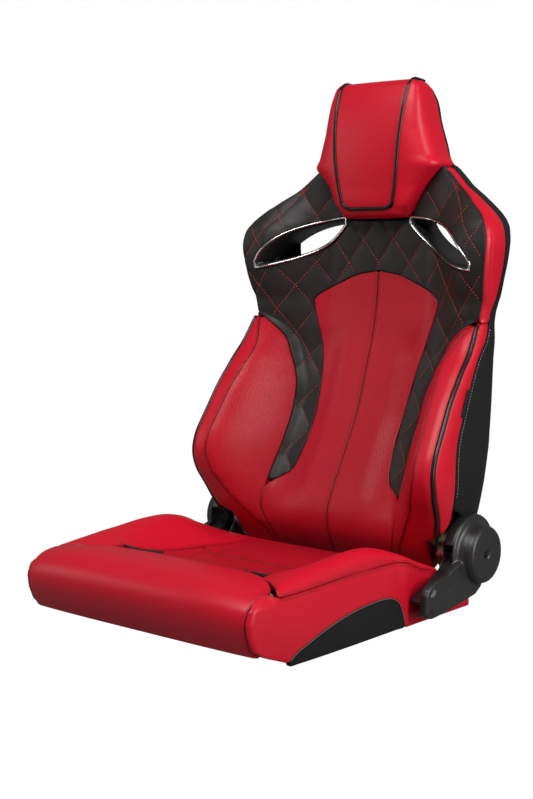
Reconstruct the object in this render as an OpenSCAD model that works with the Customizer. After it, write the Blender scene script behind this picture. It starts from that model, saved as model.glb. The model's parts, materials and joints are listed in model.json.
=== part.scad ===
// Reclining racing seat: sewn foam bolsters on a tube frame, with a lever-released recliner each side.
// +X is the sitter's left, -Y is the front, +Z is up. Z = 0 is the underside, over the floor bolts' centre.

/* [Floor mounting] */
// Distance between the bolt holes across the seat
bolt_spacing_x = 370; // [340:5:400]
// Distance between the bolt holes along the seat
bolt_spacing_y = 330; // [300:5:360]
// Radius of the threaded holes, M8
bolt_hole_r = 4; // [3:0.5:6]

/* [Recliner] */
// Recline axis, distance behind the middle of the bolt holes
pivot_y = 220; // [215:1:225]
// Recline axis, height over the underside
pivot_z = 104; // [100:1:108]
// Radius of the toothed lock discs
disc_r = 38; // [34:1:42]
// Radius of the flat face of the outer cover
cover_face_r = 50; // [46:1:54]
// Radius of the flange of the outer cover
cover_flange_r = 68; // [64:1:70]
// Number of lock teeth inside each ring
lock_teeth = 36; // [24:4:48]

/* [Upholstery] */
// Thickness of the foam-backed panels on the front of the seat
panel_t = 24; // [18:1:26]
// Thickness of the side panels
side_t = 9; // [6:1:10]
// Thickness of the rear cover
rear_t = 10; // [6:1:12]
// Diameter of the piping
piping_d = 7; // [5:1:9]

/* [Frame] */
// Outer diameter of the frame tubes
tube_d = 25; // [20:1:26]
// Wall of the frame tubes
tube_wall = 2; // [1.5:0.5:3]
// Diameter of the spring wire
wire_d = 4; // [3:0.5:5]
// Thickness of the steel brackets
plate_t = 4; // [3:0.5:5]

/* [Hidden] */
$fn = 48;

red = "#b5041f";
black = "#2b2827";
steel = "#3b3d40";

// ---- curves of the backrest: each pair is a height and a value ----
// depth of the middle of the front face
spine = [[60, 196], [90, 180], [120, 167], [150, 165], [175, 173], [200, 186], [230, 203],
    [260, 219], [325, 253], [365, 268], [410, 283], [470, 302], [535, 315], [590, 319],
    [700, 318], [800, 322], [940, 330]];
// half width of the widest part
half_width = [[60, 205], [80, 225], [102, 236], [125, 250], [155, 262], [186, 270], [220, 276],
    [270, 276], [325, 272], [390, 267], [430, 264], [470, 261], [500, 258], [520, 260],
    [545, 267], [575, 273], [610, 279], [650, 280], [675, 272], [693, 256], [710, 235],
    [727, 212], [742, 190], [762, 167], [782, 143]];
// how far the side wings stand forward of the middle
wing_rise = [[85, 0], [102, 4], [127, 15], [153, 33], [180, 58], [210, 91], [243, 118],
    [278, 130], [310, 129], [342, 123], [373, 114], [402, 100], [430, 81], [455, 56],
    [475, 36], [495, 12], [505, 0]];
// where a wing starts, at the edge of the quilting, and where its sewn ridge runs
wing_start = [[85, 134], [110, 144], [150, 155], [182, 152], [207, 151], [260, 146], [345, 147],
    [372, 150], [400, 160], [430, 174], [465, 193], [495, 230], [505, 248]];
wing_ridge = [[85, 150], [102, 160], [127, 178], [153, 197], [180, 215], [210, 228],
    [243, 237], [278, 238], [310, 235], [342, 232], [373, 228], [402, 223], [430, 219],
    [460, 224], [495, 244], [505, 252]];
// how far the shoulders stand forward of the middle
shoulder_rise = [[400, 0], [440, 8], [465, 22], [490, 36], [512, 45], [535, 50], [560, 60],
    [590, 69], [647, 71], [674, 62], [693, 48], [710, 37], [727, 24], [742, 14], [762, 4],
    [782, 0]];
// edge of the plain centre insert and edge of the headrest over the quilted yoke
insert_edge = [[70, 128], [85, 134], [110, 144], [150, 155], [182, 152], [198, 134], [207, 118], [220, 110],
    [243, 105], [270, 101], [325, 101], [353, 103], [383, 106], [412, 110], [441, 117],
    [471, 126], [501, 136], [531, 142], [550, 121], [562, 95], [573, 69], [582, 44], [588, 4]];
yoke_inner = [[588, 4], [589, 0], [682, 0], [683, 60], [698, 79], [712, 86], [726, 93],
    [740, 102], [754, 113], [768, 126], [782, 139]];
// back edge of the side panel, where the rear cover starts, and the rear corner of the shell
cover_edge = [[60, 182], [100, 176], [165, 172], [241, 167], [297, 175], [346, 200],
    [401, 230], [440, 255], [473, 284], [520, 300], [700, 318], [782, 345]];
rear_corner = [[60, 258], [100, 264], [160, 270], [221, 272], [292, 290], [388, 309],
    [482, 319], [541, 320], [650, 330], [700, 345], [782, 370]];
rear_crown = [[60, 20], [160, 32], [300, 48], [480, 62], [650, 60], [782, 30]];

// ---- curves of the headrest ----
head_half_width = [[683, 66], [698, 78], [712, 85], [726, 92], [740, 101], [754, 112],
    [768, 125], [782, 141], [815, 125], [860, 110], [912, 99], [930, 92], [940, 80]];
head_insert_half = [[700, 48], [706, 56], [725, 60], [765, 67], [830, 73], [915, 77], [934, 78]];
head_front = [[683, 300], [692, 288], [705, 283], [745, 278], [788, 275], [830, 276],
    [873, 282], [915, 295], [934, 306], [940, 314]];
head_rear = [[683, 372], [782, 384], [860, 382], [912, 374], [940, 352]];

// ---- curves of the seat cushion: each pair is a distance along Y and a value ----
seat_middle = [[-190, 120], [-165, 108], [-130, 97], [-80, 89], [0, 84], [100, 83], [150, 82]];
bolster_top = [[-312, 112], [-290, 122], [-255, 128], [-200, 136], [-140, 141], [-73, 146],
    [-18, 144], [20, 135], [71, 115], [124, 94], [180, 76], [250, 66]];
bolster_inner = [[-312, 205], [-250, 190], [-200, 172], [-150, 160], [-100, 153], [150, 150]];
// edge of the insert in front, where a small quilted gusset lies between it and the bolster
gusset_edge = [[-190, 104], [-160, 106], [-140, 117], [-125, 136], [-112, 150]];
seat_underside = [[-340, 50], [-321, 36], [-272, 15], [-228, 0], [260, 0]];

// front roll, from its rear edge over the top and down to its lower front edge
roll_profile = [[-192, 119], [-222, 128], [-258, 134], [-295, 135], [-325, 128], [-346, 112],
    [-353, 92], [-350, 70], [-341, 48], [-331, 33], [-312, 27]];

// ---- derived sizes ----
seat_half_width = 250;
side_bulge = 6;
clear_r = 74;           // nothing of the base reaches nearer to the recline axis than this
back_bottom_r = 69;     // the lower end of the backrest turns inside this radius
ring_x = 228;           // inner face of the toothed ring
ring_w = 9;
guide_x = ring_x + ring_w + 0.5;
guide_w = 4.5;
bracket_x = guide_x + guide_w;
lever_x = 256;
cover_x = 262;
tooth_r = disc_r - 4;
tooth_h = 1.8;
pawl_gap = 0.35;
lever_angle = 24;       // slope of the lever at rest
slot_front = [[60, 300], [110, 300], [250, 238], [290, 236]];
slot_rear = [[60, 388], [110, 380], [220, 346], [228, 280], [290, 272]];
wing_bottom = 104;
wing_top = 496;
row_gap = 16;
elbow_swell = 0.25;     // the elbows of a bent rod stand this much proud of it

function ramp(t, a, b) = let (u = min(1, max(0, (t - a) / (b - a)))) u * u * (3 - 2 * u);
function bump(t, mid, w) = max(0, 1 - pow((t - mid) / w, 2));

// height field of the front of the backrest
function front_y(x, z) =
    lookup(z, spine)
    + 9 * bump(x, 104, 45) * ramp(z, 120, 200) * (1 - ramp(z, 430, 500))
    - lookup(z, wing_rise) * ramp(x, lookup(z, wing_start) - 18, lookup(z, wing_ridge) + 4)
    - lookup(z, shoulder_rise) * ramp(x, 105, 238);

// height field of the top of the cushion
function seat_z(x, y) =
    let (in = lookup(y, bolster_inner), mid = lookup(y, seat_middle))
    let (edge = seat_half_width - 24)
    mid + (lookup(y, bolster_top) - mid) * ramp(x, in - 26, edge)
    - 16 * pow(max(0, (x - edge) / 24), 2);

// ---- solids from two matching grids of points, an outer and an inner one ----
// seen from outside, the columns of the outer grid run left to right and its rows run upwards
function joined(grid) = [for (row = grid) for (p = row) p];
function sheet_faces(n, m, first, flip) = [for (i = [0:n - 2]) for (j = [0:m - 2])
    let (a = first + i * m + j, b = a + 1, c = a + m, d = c + 1)
    each flip ? [[a, b, c], [b, d, c]] : [[a, c, b], [b, c, d]]];
function wall_faces(path, shift) = [for (k = [0:len(path) - 1])
    let (a = path[k], b = path[(k + 1) % len(path)])
    each [[a, b, a + shift], [b, b + shift, a + shift]]];
function rim(n, m) = concat([for (j = [0:m - 2]) j], [for (i = [0:n - 2]) i * m + m - 1],
    [for (j = [m - 1:-1:1]) (n - 1) * m + j], [for (i = [n - 1:-1:1]) i * m]);

module slab(outer, inner) {
    n = len(outer);
    m = len(outer[0]);
    polyhedron(
        points = concat(joined(outer), joined(inner)),
        faces = concat(sheet_faces(n, m, 0, false), sheet_faces(n, m, n * m, true),
            wall_faces(rim(n, m), n * m)),
        convexity = 10);
}

// a tube of eight sides along a list of points; its rings keep one side along the direction `up`
module swept_tube(path, r, up, closed = false) {
    n = len(path);
    m = 8;
    last = n - 1;
    function tangent(i) = let (a = path[closed ? (i + last) % n : max(0, i - 1)],
            b = path[closed ? (i + 1) % n : min(last, i + 1)]) (b - a) / norm(b - a);
    function across(i) = let (c = cross(up, tangent(i))) c / norm(c);
    rings = [for (i = [0:last]) [for (j = [0:m - 1]) path[i]
        + r * (cos(360 * j / m) * up + sin(360 * j / m) * across(i))]];
    caps = closed ? [] : [[for (j = [0:m - 1]) j], [for (j = [m - 1:-1:0]) last * m + j]];
    polyhedron(
        points = joined(rings),
        faces = concat(caps, [for (i = [0:closed ? last : last - 1]) for (j = [0:m - 1])
            let (a = i * m + j, b = i * m + (j + 1) % m, k = ((i + 1) % n) * m)
            let (c = k + j, d = k + (j + 1) % m)
            each [[a, c, b], [b, c, d]]]),
        convexity = 10);
}

function steps(a, b, gap) = let (n = max(1, round((b - a) / gap))) [for (i = [0:n]) a + (b - a) * i / n];

module mirrored() {
    children();
    mirror([1, 0, 0]) children();
}

// a rod along a list of points, with round elbows
module bent_rod(path, r) {
    for (i = [0:len(path) - 2]) {
        v = path[i + 1] - path[i];
        translate(path[i])
            rotate([0, acos(v.z / norm(v)), atan2(v.y, v.x)])
                cylinder(h = norm(v), r = r);
    }
    for (i = [1:1:len(path) - 2])
        translate(path[i]) sphere(r = r + elbow_swell);
}

module disc(x, w, r) {
    translate([x, pivot_y, pivot_z]) rotate([0, 90, 0]) cylinder(h = w, r = r);
}

module plate_yz(x, t, outline) {
    translate([x, 0, 0]) rotate([90, 0, 90]) linear_extrude(t) polygon(outline);
}

// ---- base frame ----
module side_rail(s) {
    web_x = bracket_x - 3;
    rail_front = -225;
    rail_rear = 205;
    flange_x = bolt_spacing_x / 2 - 18;
    color(steel) scale([s, 1, 1]) difference() {
        union() {
            translate([web_x - 3, rail_front, 0]) cube([3, 355, 62]);
            translate([web_x - 3, rail_front, 0]) cube([3, rail_rear - rail_front, 26]);
            translate([flange_x, rail_front, 0])
                cube([web_x - flange_x, rail_rear - rail_front, 3]);
        }
        for (y = [-1, 1] * bolt_spacing_y / 2)
            translate([bolt_spacing_x / 2, y, -1]) cylinder(h = 6, r = bolt_hole_r);
    }
}

module floor_mount_nuts() {
    color("silver") for (x = [-1, 1], y = [-1, 1])
        translate([x * bolt_spacing_x / 2, y * bolt_spacing_y / 2, 3]) difference() {
            cylinder(h = 9, r = 7.5, $fn = 6);
            translate([0, 0, -1]) cylinder(h = 11, r = bolt_hole_r);
        }
}

module cross_tube(y, z, half) {
    color(steel) translate([-half, y, z]) rotate([0, 90, 0]) difference() {
        cylinder(h = 2 * half, r = tube_d / 2);
        translate([0, 0, -1]) cylinder(h = 2 * half + 2, r = tube_d / 2 - tube_wall);
    }
}

module front_cross_tube() cross_tube(-205, 32, bracket_x - 6.2);

module rear_cross_tube() cross_tube(112, 32, bracket_x - 6.2);

module seat_springs() {
    color("dimgray") for (x = [-135:90:135])
        bent_rod([for (i = [0:9]) [x + (i % 2 == 0 ? -16 : 16), -190 + i * 31, 43]], wire_d / 2);
}

// ---- seat cushion ----
function insert_edge_x(y) = let (sewn = lookup(y, bolster_inner) - 4.2)
    y < -112 ? min(sewn, lookup(y, gusset_edge)) : sewn;

module cushion_insert() {
    points = [for (y = concat([-190, -175, -160, -150, -140, -132, -125, -118], steps(-112, 152, 20)))
        [for (i = [-6:6]) let (x = i * insert_edge_x(y) / 6) [x, y, seat_z(abs(x), y)]]];
    color(red) difference() {
        slab(points, [for (row = points) [for (p = row) p - [0, 0, panel_t]]]);
        disc(-300, 600, clear_r);
    }
}

module cushion_strip(s, from, to, rows, cols) {
    points = [for (y = rows) [for (j = [0:cols])
        let (x = from(y) + (to(y) - from(y)) * j / cols) [x, y, seat_z(x, y)]]];
    difference() {
        mirror([s < 0 ? 1 : 0, 0, 0])
            slab(points, [for (row = points) [for (p = row) p - [0, 0, panel_t]]]);
        disc(-300, 600, clear_r);
    }
}

module cushion_quilt(s) {
    color(black) cushion_strip(s, function (y) insert_edge_x(y) + 0.4,
        function (y) lookup(y, bolster_inner) - 4, [-190, -175, -160, -150, -140, -132, -125, -118], 3);
}

module cushion_bolster(s) {
    color(red) cushion_strip(s, function (y) lookup(y, bolster_inner) - 3.8,
        function (y) seat_half_width - side_t, steps(-190, 245, 20), 6);
}

module cushion_front_roll() {
    half = seat_half_width - side_t;
    inner = [for (p = roll_profile) let (c = [-262, 88]) c + (p - c) * 0.62];
    xs = steps(-half, half, 30);
    function crown(x) = 1 - 0.08 * pow(abs(x) / half, 4);
    color(red) slab(
        [for (x = xs) [for (p = roll_profile) [x, -200 + (p.x + 200) * crown(x), p.y * crown(x)]]],
        [for (x = xs) [for (p = inner) [x, p.x, p.y]]]);
}

module cushion_foam() {
    half = seat_half_width - side_t - 0.4;
    base_z = 54;
    gap = 1.5;
    color("khaki") difference() {
        union() {
            translate([-half, -188, base_z]) cube([2 * half, 338, 1.5]);
            slab(
                [for (y = steps(-188, 150, 24)) [for (i = [-8:8])
                    let (x = i * (half - 1) / 8)
                    [x, y, min(seat_z(abs(x), y), seat_z(max(0, abs(x) - 20), y)) - panel_t - gap]]],
                [for (y = steps(-188, 150, 24)) [for (i = [-8:8]) [i * (half - 1) / 8, y, base_z - 8]]]);
        }
        disc(-300, 600, clear_r);
        mirrored() translate([bracket_x - 8, -260, 0]) cube([40, 560, 64]);
    }
}

function side_top(y) = y < -300 ? lookup(y, [[-352, 92], [-346, 110], [-325, 122], [-300, 118]])
    : lookup(y, bolster_top) - 16;

module cushion_side(s) {
    ys = concat([-349, -343, -330, -312], steps(-290, 10, 25), [25, 35, 47, 58], steps(70, 252, 26));
    rows = 6;
    function low(y) = y < -340 ? lookup(y, [[-349, 80], [-343, 56], [-340, 50]])
        : lookup(y, seat_underside);
    // behind the patch the panel steps out, over the recliner's bracket and its bolts
    function wall(y, j) = let (t = 1 - j / rows)
        [seat_half_width + side_bulge * sin(180 * t) * ramp(y, -350, -280) * (1 - ramp(y, 30, 70))
            + 4.6 * ramp(y, 30, 60), y, low(y) + (side_top(y) - low(y)) * t];
    function inner_x(y) = seat_half_width - side_t + 0.2 + 8.6 * ramp(y, 25, 58);
    color(red) difference() {
        mirror([s < 0 ? 1 : 0, 0, 0]) slab(
            [for (y = ys) [for (j = [0:rows]) wall(y, j)]],
            [for (y = ys) [for (j = [0:rows]) [inner_x(y), y, wall(y, j).z]]]);
        patch_prism(s, 0.4);
        disc(-300, 600, clear_r);
    }
}

// lower black patch on the side of the cushion, an arch between the front edge and the recliner
module patch_prism(s, grow) {
    arch = [[-262, -5], [-238, 16], [-200, 32], [-152, 46], [-91, 57], [-40, 61], [0, 60],
        [22, 54], [36, 42], [46, 22], [54, -5]];
    mirror([s < 0 ? 1 : 0, 0, 0])
        plate_yz(seat_half_width - side_t - grow, side_t + 2 * grow + side_bulge,
            [for (p = arch) [p.x, p.y + (p.y > 0 ? grow : -grow)]]);
}

module side_patch(s) {
    color(black) intersection() {
        patch_prism(s, 0);
        translate([-300, -300, 0]) cube([600, 400, 100]);
        mirror([s < 0 ? 1 : 0, 0, 0]) translate([seat_half_width - side_t, -300, 0])
            cube([side_t + 3, 400, 100]);
    }
}

// ---- recliner, parts that stay with the base ----
module recliner_bracket(s) {
    outline = [[60, 8], [205, 8], [238, 52], [258, 92], [256, 122], [240, 139], [200, 139],
        [183, 122], [182, 96], [160, 66], [120, 58], [60, 50]];
    color(steel) scale([s, 1, 1]) difference() {
        plate_yz(bracket_x, plate_t, outline);
        disc(bracket_x - 1, plate_t + 2, 10);
        for (y = [80, 120])
            translate([bracket_x - 1, y, 32]) rotate([0, 90, 0])
                cylinder(h = plate_t + 2, r = 4.2);
    }
}

module bracket_bolts() {
    color("silver") mirrored() for (y = [80, 120])
        translate([bracket_x + plate_t, y, 32]) rotate([0, 90, 0]) {
            cylinder(h = 3, r = 6.5, $fn = 6);
            translate([0, 0, -plate_t]) cylinder(h = plate_t, r = 4.2);
        }
}

module guide_disc(s) {
    block_in = 8.6;
    color("gray") scale([s, 1, 1]) difference() {
        union() {
            disc(guide_x, guide_w, disc_r);
            intersection() {
                disc(ring_x + 3.5, ring_w, tooth_r - 2);
                for (side = [-1, 1])
                    translate([ring_x + 3.5, pivot_y + side * (block_in + 7), pivot_z - 40])
                        translate([0, -7, 0]) cube([ring_w, 14, 80]);
            }
        }
        disc(ring_x, 40, 13);
    }
}

// ---- recliner, parts that the lever turns ----
module torsion_rod() {
    color("silver") disc(-lever_x - 12, 2 * lever_x + 24, 5);
}

module release_cams() {
    w = 4.5;
    color("silver") mirrored() difference() {
        union() {
            disc(ring_x + 4, w, 9);
            translate([ring_x + 4, pivot_y, pivot_z]) rotate([20, 0, 0]) for (z = [-11.6, 7])
                translate([0, -4, z]) cube([w, 8, 4.6]);
        }
        disc(ring_x + 3, 8, 5.02);
    }
}

module lever(s) {
    grip_w = 21;
    color("#191919") scale([s, 1, 1]) difference() {
        union() {
            disc(lever_x + 1, 10, 15);
            translate([lever_x, pivot_y, pivot_z]) rotate([lever_angle, 0, 0]) {
                translate([1, -75, -11]) cube([8, 70, 22]);
                translate([0, -168, 4]) cube([grip_w, 118, 8]);
                translate([grip_w - 8, -160, -14]) cube([8, 104, 22]);
            }
        }
        disc(lever_x - 1, 14, 5);
    }
}

// ---- lock pawls: the lever's cams draw them in, out of the ring's teeth ----
module pawls(dir) {
    tip = tooth_r - tooth_h - pawl_gap;
    color("gray") mirrored() translate([ring_x + 4, pivot_y, pivot_z]) rotate([dir < 0 ? 180 : 0, 0, 0])
        translate([0, -8, 13.5]) intersection() {
            cube([4.5, 16, tip - 13.5]);
            translate([-1, 8, -13.5]) rotate([0, 90, 0]) cylinder(h = 8, r = tip);
        }
}

// ---- recliner, parts that turn with the backrest ----
module ring_disc(s) {
    color("gray") scale([s, 1, 1]) difference() {
        disc(ring_x, ring_w, disc_r);
        disc(ring_x + 3, ring_w, tooth_r - tooth_h);
        for (i = [0:lock_teeth - 1])
            translate([ring_x + 3, pivot_y, pivot_z]) rotate([360 * i / lock_teeth, 0, 0])
                translate([0, -1.4, 0]) cube([ring_w, 2.8, tooth_r]);
        disc(ring_x - 1, 20, 13);
    }
}

module back_bracket(s) {
    outline = [[200, 78], [216, 68], [238, 72], [250, 88], [252, 130], [254, 190],
        [240, 200], [228, 156], [198, 120], [194, 98]];
    color(steel) scale([s, 1, 1]) difference() {
        plate_yz(ring_x - plate_t - 0.2, plate_t, outline);
        disc(ring_x - plate_t - 2, plate_t + 4, 16);
    }
}

// ---- back frame ----
side_path = [[208, 240, 122], [210, 252, 240], [212, 296, 420], [216, 313, 505], [246, 303, 590]];
hoop_path = [[246, 303, 590], [240, 306, 650], [196, 327, 702], [154, 350, 717], [110, 359.5, 734],
    [66, 350, 880]];

module back_tube(s) {
    color(steel) scale([s, 1, 1]) bent_rod(side_path, tube_d / 2);
}

module shoulder_hoop() {
    far = [for (i = [len(hoop_path) - 1:-1:0]) [-hoop_path[i].x, hoop_path[i].y, hoop_path[i].z]];
    color(steel) bent_rod(concat(hoop_path, far), tube_d / 2);
}

module back_lower_tube() {
    half = ring_x - 0.2;
    color(steel) difference() {
        disc(-half, 2 * half, 16);
        disc(-half - 1, 2 * half + 2, 12);
    }
}

module back_cross_tube() {
    bend_r = 565;
    half_angle = 24.2;
    color(steel) translate([0, 363 - bend_r, 573]) rotate([0, 0, 90 - half_angle])
        rotate_extrude(angle = 2 * half_angle, $fn = 360) translate([bend_r, 0]) circle(r = tube_d * 0.38);
}

module lumbar_springs() {
    color("dimgray") for (z = [215:75:365])
        bent_rod([for (i = [0:13]) [-195 + i * 30,
            max(lookup(z, rear_corner) + 2, lookup(z + 14, spine) + panel_t + 13),
            z + (i % 2 == 0 ? -1 : 1) * 14]], wire_d / 2);
}

// ---- backrest upholstery ----
// a panel of the front face between two edges, each a function of height
module front_panel(zs, from, to, cols, depth) {
    slab(
        [for (z = zs) [for (j = [0:cols])
            let (x = from(z) + (to(z) - from(z)) * j / cols) [x, front_y(abs(x), z), z]]],
        [for (z = zs) [for (j = [0:cols])
            let (x = from(z) + (to(z) - from(z)) * j / cols) [x, front_y(abs(x), z) + depth, z]]]);
}

module centre_insert(s) {
    zs = concat(steps(78, 531, row_gap), [541, 550, 562, 573, 582, 588]);
    color(red) mirror([s < 0 ? 1 : 0, 0, 0]) intersection() {
        front_panel(zs, function (z) 0.15, function (z) lookup(z, insert_edge) - 0.5, 5, panel_t);
        below_turn();
    }
}

// the space round the lock discs and the brackets, which the upholstery is cut out for
module hinge_room() {
    mirrored() hull() {
        disc(ring_x - plate_t - 1, 60, disc_r + 12);
        translate([0, 14, 60]) disc(ring_x - plate_t - 1, plate_t + 1, 24);
    }
}

// everything of the backrest that lies below the axis stays inside the turning radius
module below_turn() {
    union() {
        disc(-300, 600, back_bottom_r);
        translate([-300, 0, pivot_z - 6]) cube([600, 600, 900]);
    }
}

module wing(s) {
    zs = steps(wing_bottom, wing_top, row_gap);
    color(red) mirror([s < 0 ? 1 : 0, 0, 0]) difference() {
        front_panel(zs, function (z) lookup(z, wing_start) + 0.8,
            function (z) lookup(z, half_width) - side_t - 0.6, 8, panel_t);
        disc(cover_x - 8, 80, clear_r);
        hinge_room();
    }
}

module wing_piping(s) {
    path = [for (z = steps(128, 488, 24)) let (x = lookup(z, half_width) - piping_d / 2 + 0.5)
        [x, front_y(x, z) + 1, z]];
    color(black) mirror([s < 0 ? 1 : 0, 0, 0]) swept_tube(path, piping_d / 2 - 0.6, [1, 0, 0]);
}

module back_side(s) {
    zs = concat(steps(132, 500, row_gap), [511, 522, 533], steps(545, 755, row_gap), [764, 773]);
    function edge(z) = lookup(z, half_width);
    function fy(z) = front_y(edge(z) - piping_d / 2, z) + piping_d * 0.8;
    function ry(z) = max(lookup(z, cover_edge) - 0.9, fy(z) + 4);
    function wall(z, x, swell) = [for (t = [0:0.25:1])
        [x + swell * sin(180 * t), fy(z) + (ry(z) - fy(z)) * t, z]];
    color(red) mirror([s < 0 ? 1 : 0, 0, 0]) difference() {
        slab([for (z = zs) wall(z, edge(z), 4)], [for (z = zs) wall(z, edge(z) - side_t, 0)]);
        disc(cover_x - 12, 80, clear_r + 4);
        hinge_room();
    }
}

// the fabric tab in the seam of one side panel
module side_tab() {
    color(black) translate([lookup(366, half_width) + 2.5, 214, 341]) rotate([-29, 0, 0])
        cube([3, 9, 52]);
}

module yoke_half() {
    lower = concat(steps(186, 531, row_gap), [541, 550, 562, 573, 582, 588]);
    upper = concat(steps(589, 682, row_gap), [683], steps(698, 782, 14));
    outer = function (z) z < 500 ? lookup(z, wing_start) - 1
        : lookup(z, half_width) - side_t - (z < 690 ? 1.2 : 3.5);
    front_panel(lower, function (z) lookup(z, insert_edge) + 0.5, outer, 8, panel_t);
    front_panel(concat([588], upper), function (z) lookup(z, yoke_inner) - (z < 683 ? 1 : -3.2),
        outer, 10, panel_t);
}

// eye-shaped harness slot, leaning with the shoulder, and a wall that follows its edge
module slot_prism(grow) {
    rotate([90, 0, 0]) translate([0, 0, -460]) linear_extrude(360) slot_outline(grow);
}

module slot_wall(outer, inner) {
    rotate([90, 0, 0]) translate([0, 0, -460]) linear_extrude(360) difference() {
        slot_outline(outer);
        slot_outline(inner);
    }
}

module slot_outline(grow) {
    along = [0.89, -0.456];
    across = [0.456, 0.89];
    tip_in = [80, 682] - along * grow * 1.6;
    span = 180 + 3.2 * grow;
    function edge(t, rise, skew) = tip_in + along * span * t
        + across * (sign(rise) * grow * 0.7 + rise * pow(max(0, sin(180 * pow(t, skew))), 0.8));
    polygon(concat([for (i = [0:15]) edge(i / 15, 25 + 0.3 * grow, 1.15)],
        [for (i = [15:-1:0]) edge(i / 15, -19 - 0.3 * grow, 0.85)]));
}

module quilted_yoke() {
    color(black) difference() {
        mirrored() yoke_half();
        mirrored() slot_prism(6.4);
    }
}

function rear_y(x, z) = let (w = lookup(z, half_width), u = min(1, abs(x) / w))
    lookup(z, rear_corner) + lookup(z, rear_crown) * (1 - u * u);

// rear cover: wraps the sides up to the side panels and closes the back
module rear_cover() {
    zs = steps(84, 778, 22);
    function ring(z, d) = let (w = lookup(z, half_width) - 1.5 - d, e = lookup(z, cover_edge),
            c = lookup(z, rear_corner) - d)
        concat([[w, e], [w + 1, (e + c) / 2], [w - 3, c - 6]],
            [for (i = [5:-1:-5]) let (x = i * (w - 14) / 5) [x, rear_y(x, z) - d]],
            [[3 - w, c - 6], [-w - 1, (e + c) / 2], [-w, e]]);
    head_zs = steps(778, 926, 21);
    function head_ring(z, d) = [for (i = [5:-1:-5]) let (w = lookup(z, head_half_width) - 5, x = i * w / 5)
        [x, lookup(z, head_rear) + 12 - 18 * pow(x / w, 4) - d, z]];
    color(black) difference() {
        slab([for (z = zs) [for (p = ring(z, 0)) [p.x, p.y, z]]],
            [for (z = zs) [for (p = ring(z, rear_t)) [p.x, p.y, z]]]);
        mirrored() slot_prism(6.4);
        mirrored() disc(cover_x - 12, 80, clear_r + 4);
        hinge_room();
        disc(-ring_x, 2 * ring_x, 18);
        difference() {
            translate([-300, 0, 0]) cube([600, 600, pivot_z]);
            disc(-400, 800, back_bottom_r + 22);
        }
    }
    color(black) slab([for (z = head_zs) head_ring(z, 0)], [for (z = head_zs) head_ring(z, rear_t)]);
}

module back_foam() {
    zs = steps(110, 680, 22);
    gap = 2.5;
    half = function (z) lookup(z, half_width) - side_t - 6;
    front = function (x, z) max(front_y(x, z), front_y(max(0, x - 14), z)) + panel_t + gap;
    color("khaki") difference() {
        slab(
            [for (z = zs) [for (i = [-9:9]) let (x = i * half(z) / 9)
                [x, front(abs(x), z), z]]],
            [for (z = zs) [for (i = [-9:9]) let (x = i * half(z) / 9)
                [x, max(lookup(z, rear_corner) - 2 * rear_t, front(abs(x), z) + gap), z]]]);
        mirrored() slot_prism(7);
        disc(-300, 600, 17);
        mirrored() disc(ring_x - plate_t - 1, 60, back_bottom_r + 24);
        hinge_room();
    }
}

// ---- headrest ----
function head_y(x, z) = let (h = lookup(z, head_insert_half), w = lookup(z, head_half_width))
    lookup(z, head_front) + (x < h ? 0 : 34 * pow(min(1, (x - h) / max(4, w - h)), 1.6))
    - 2;

module head_slab(zs, half, front, rear, cols) {
    slab(
        [for (z = zs) [for (i = [-cols:cols]) let (x = i * half(z) / cols) [x, front(abs(x), z), z]]],
        [for (z = zs) [for (i = [-cols:cols]) let (x = i * half(z) / cols) [x, rear(abs(x), z), z]]]);
}

module headrest_insert() {
    color(red) head_slab(steps(704, 934, 18), function (z) lookup(z, head_insert_half) - 3,
        function (x, z) head_y(x, z) + 3 - 4 * pow(x / 75, 2), function (x, z) lookup(z, head_front) + 14, 5);
}

module headrest_piping() {
    front = function (z) lookup(z, head_front) + 0.5;
    side = [for (z = steps(712, 926, 22)) [lookup(z, head_insert_half) - 0.5, front(z), z]];
    far = [for (i = [len(side) - 1:-1:0]) [-side[i].x, side[i].y, side[i].z]];
    top = [for (x = [60:-30:-60]) [x, front(935), 935]];
    low = [for (x = [-48:24:48]) [x, front(704), 704]];
    color(black) swept_tube(concat(low, side, top, far), piping_d / 2 - 0.6, [0, -1, 0], true);
}

module headrest_surround() {
    zs = concat([684, 691, 698], steps(712, 926, 18), [934, 940]);
    color(red) difference() {
        head_slab(zs, function (z) lookup(z, head_half_width), function (x, z) head_y(x, z),
            function (x, z) min(lookup(z, head_rear) - 18, head_y(x, z) + 26), 8);
        head_slab(steps(701, 937, 18), function (z) lookup(z, head_insert_half) + 2.5,
            function (x, z) lookup(z, head_front) - 40, function (x, z) lookup(z, head_front) + 15, 5);
    }
}

module headrest_foam() {
    color(black) head_slab(concat([700, 782], steps(800, 930, 20)),
        function (z) (z < 790 ? 96 : lookup(z, head_half_width) - 22),
        function (x, z) max(head_y(x, z), lookup(z, head_front)) + (z < 790 ? 46 : 28),
        function (x, z) lookup(z, head_rear) - 4 - 16 * pow(x / 100, 4), 5);
}

// ---- harness openings ----
module harness_bezel(s) {
    color("#151515") scale([s, 1, 1]) intersection() {
        slot_wall(6, 0);
        harness_depth(-4, 5);
    }
}

// a band that follows the lean of the shoulder, as deep as the rear face when `far` is positive
module harness_depth(near, far) {
    linear_extrude(900) polygon(concat([for (p = slot_front) p + [0, near]],
        [for (i = [far > 0 ? len(slot_rear) - 1 : len(slot_front) - 1:-1:0])
            (far > 0 ? slot_rear[i] : slot_front[i]) + [0, far]]));
}

module harness_rings() {
    color("silver") mirrored() intersection() {
        slot_wall(8.4, 6.2);
        harness_depth(-7, -1);
    }
}

// ---- recliner covers ----
// outline of the arm, drawn in by `inset`, in the frame of the recline axis
function arm_outline(inset) = [[-162 + inset, -80 + inset], [-142, -89 + inset], [-8, -72 + inset],
    [14 - inset, -52], [-14, 10], [-70, -8 - inset], [-110, -20 - inset], [-144, -30 - inset],
    [-160 + inset, -44]];

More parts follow.
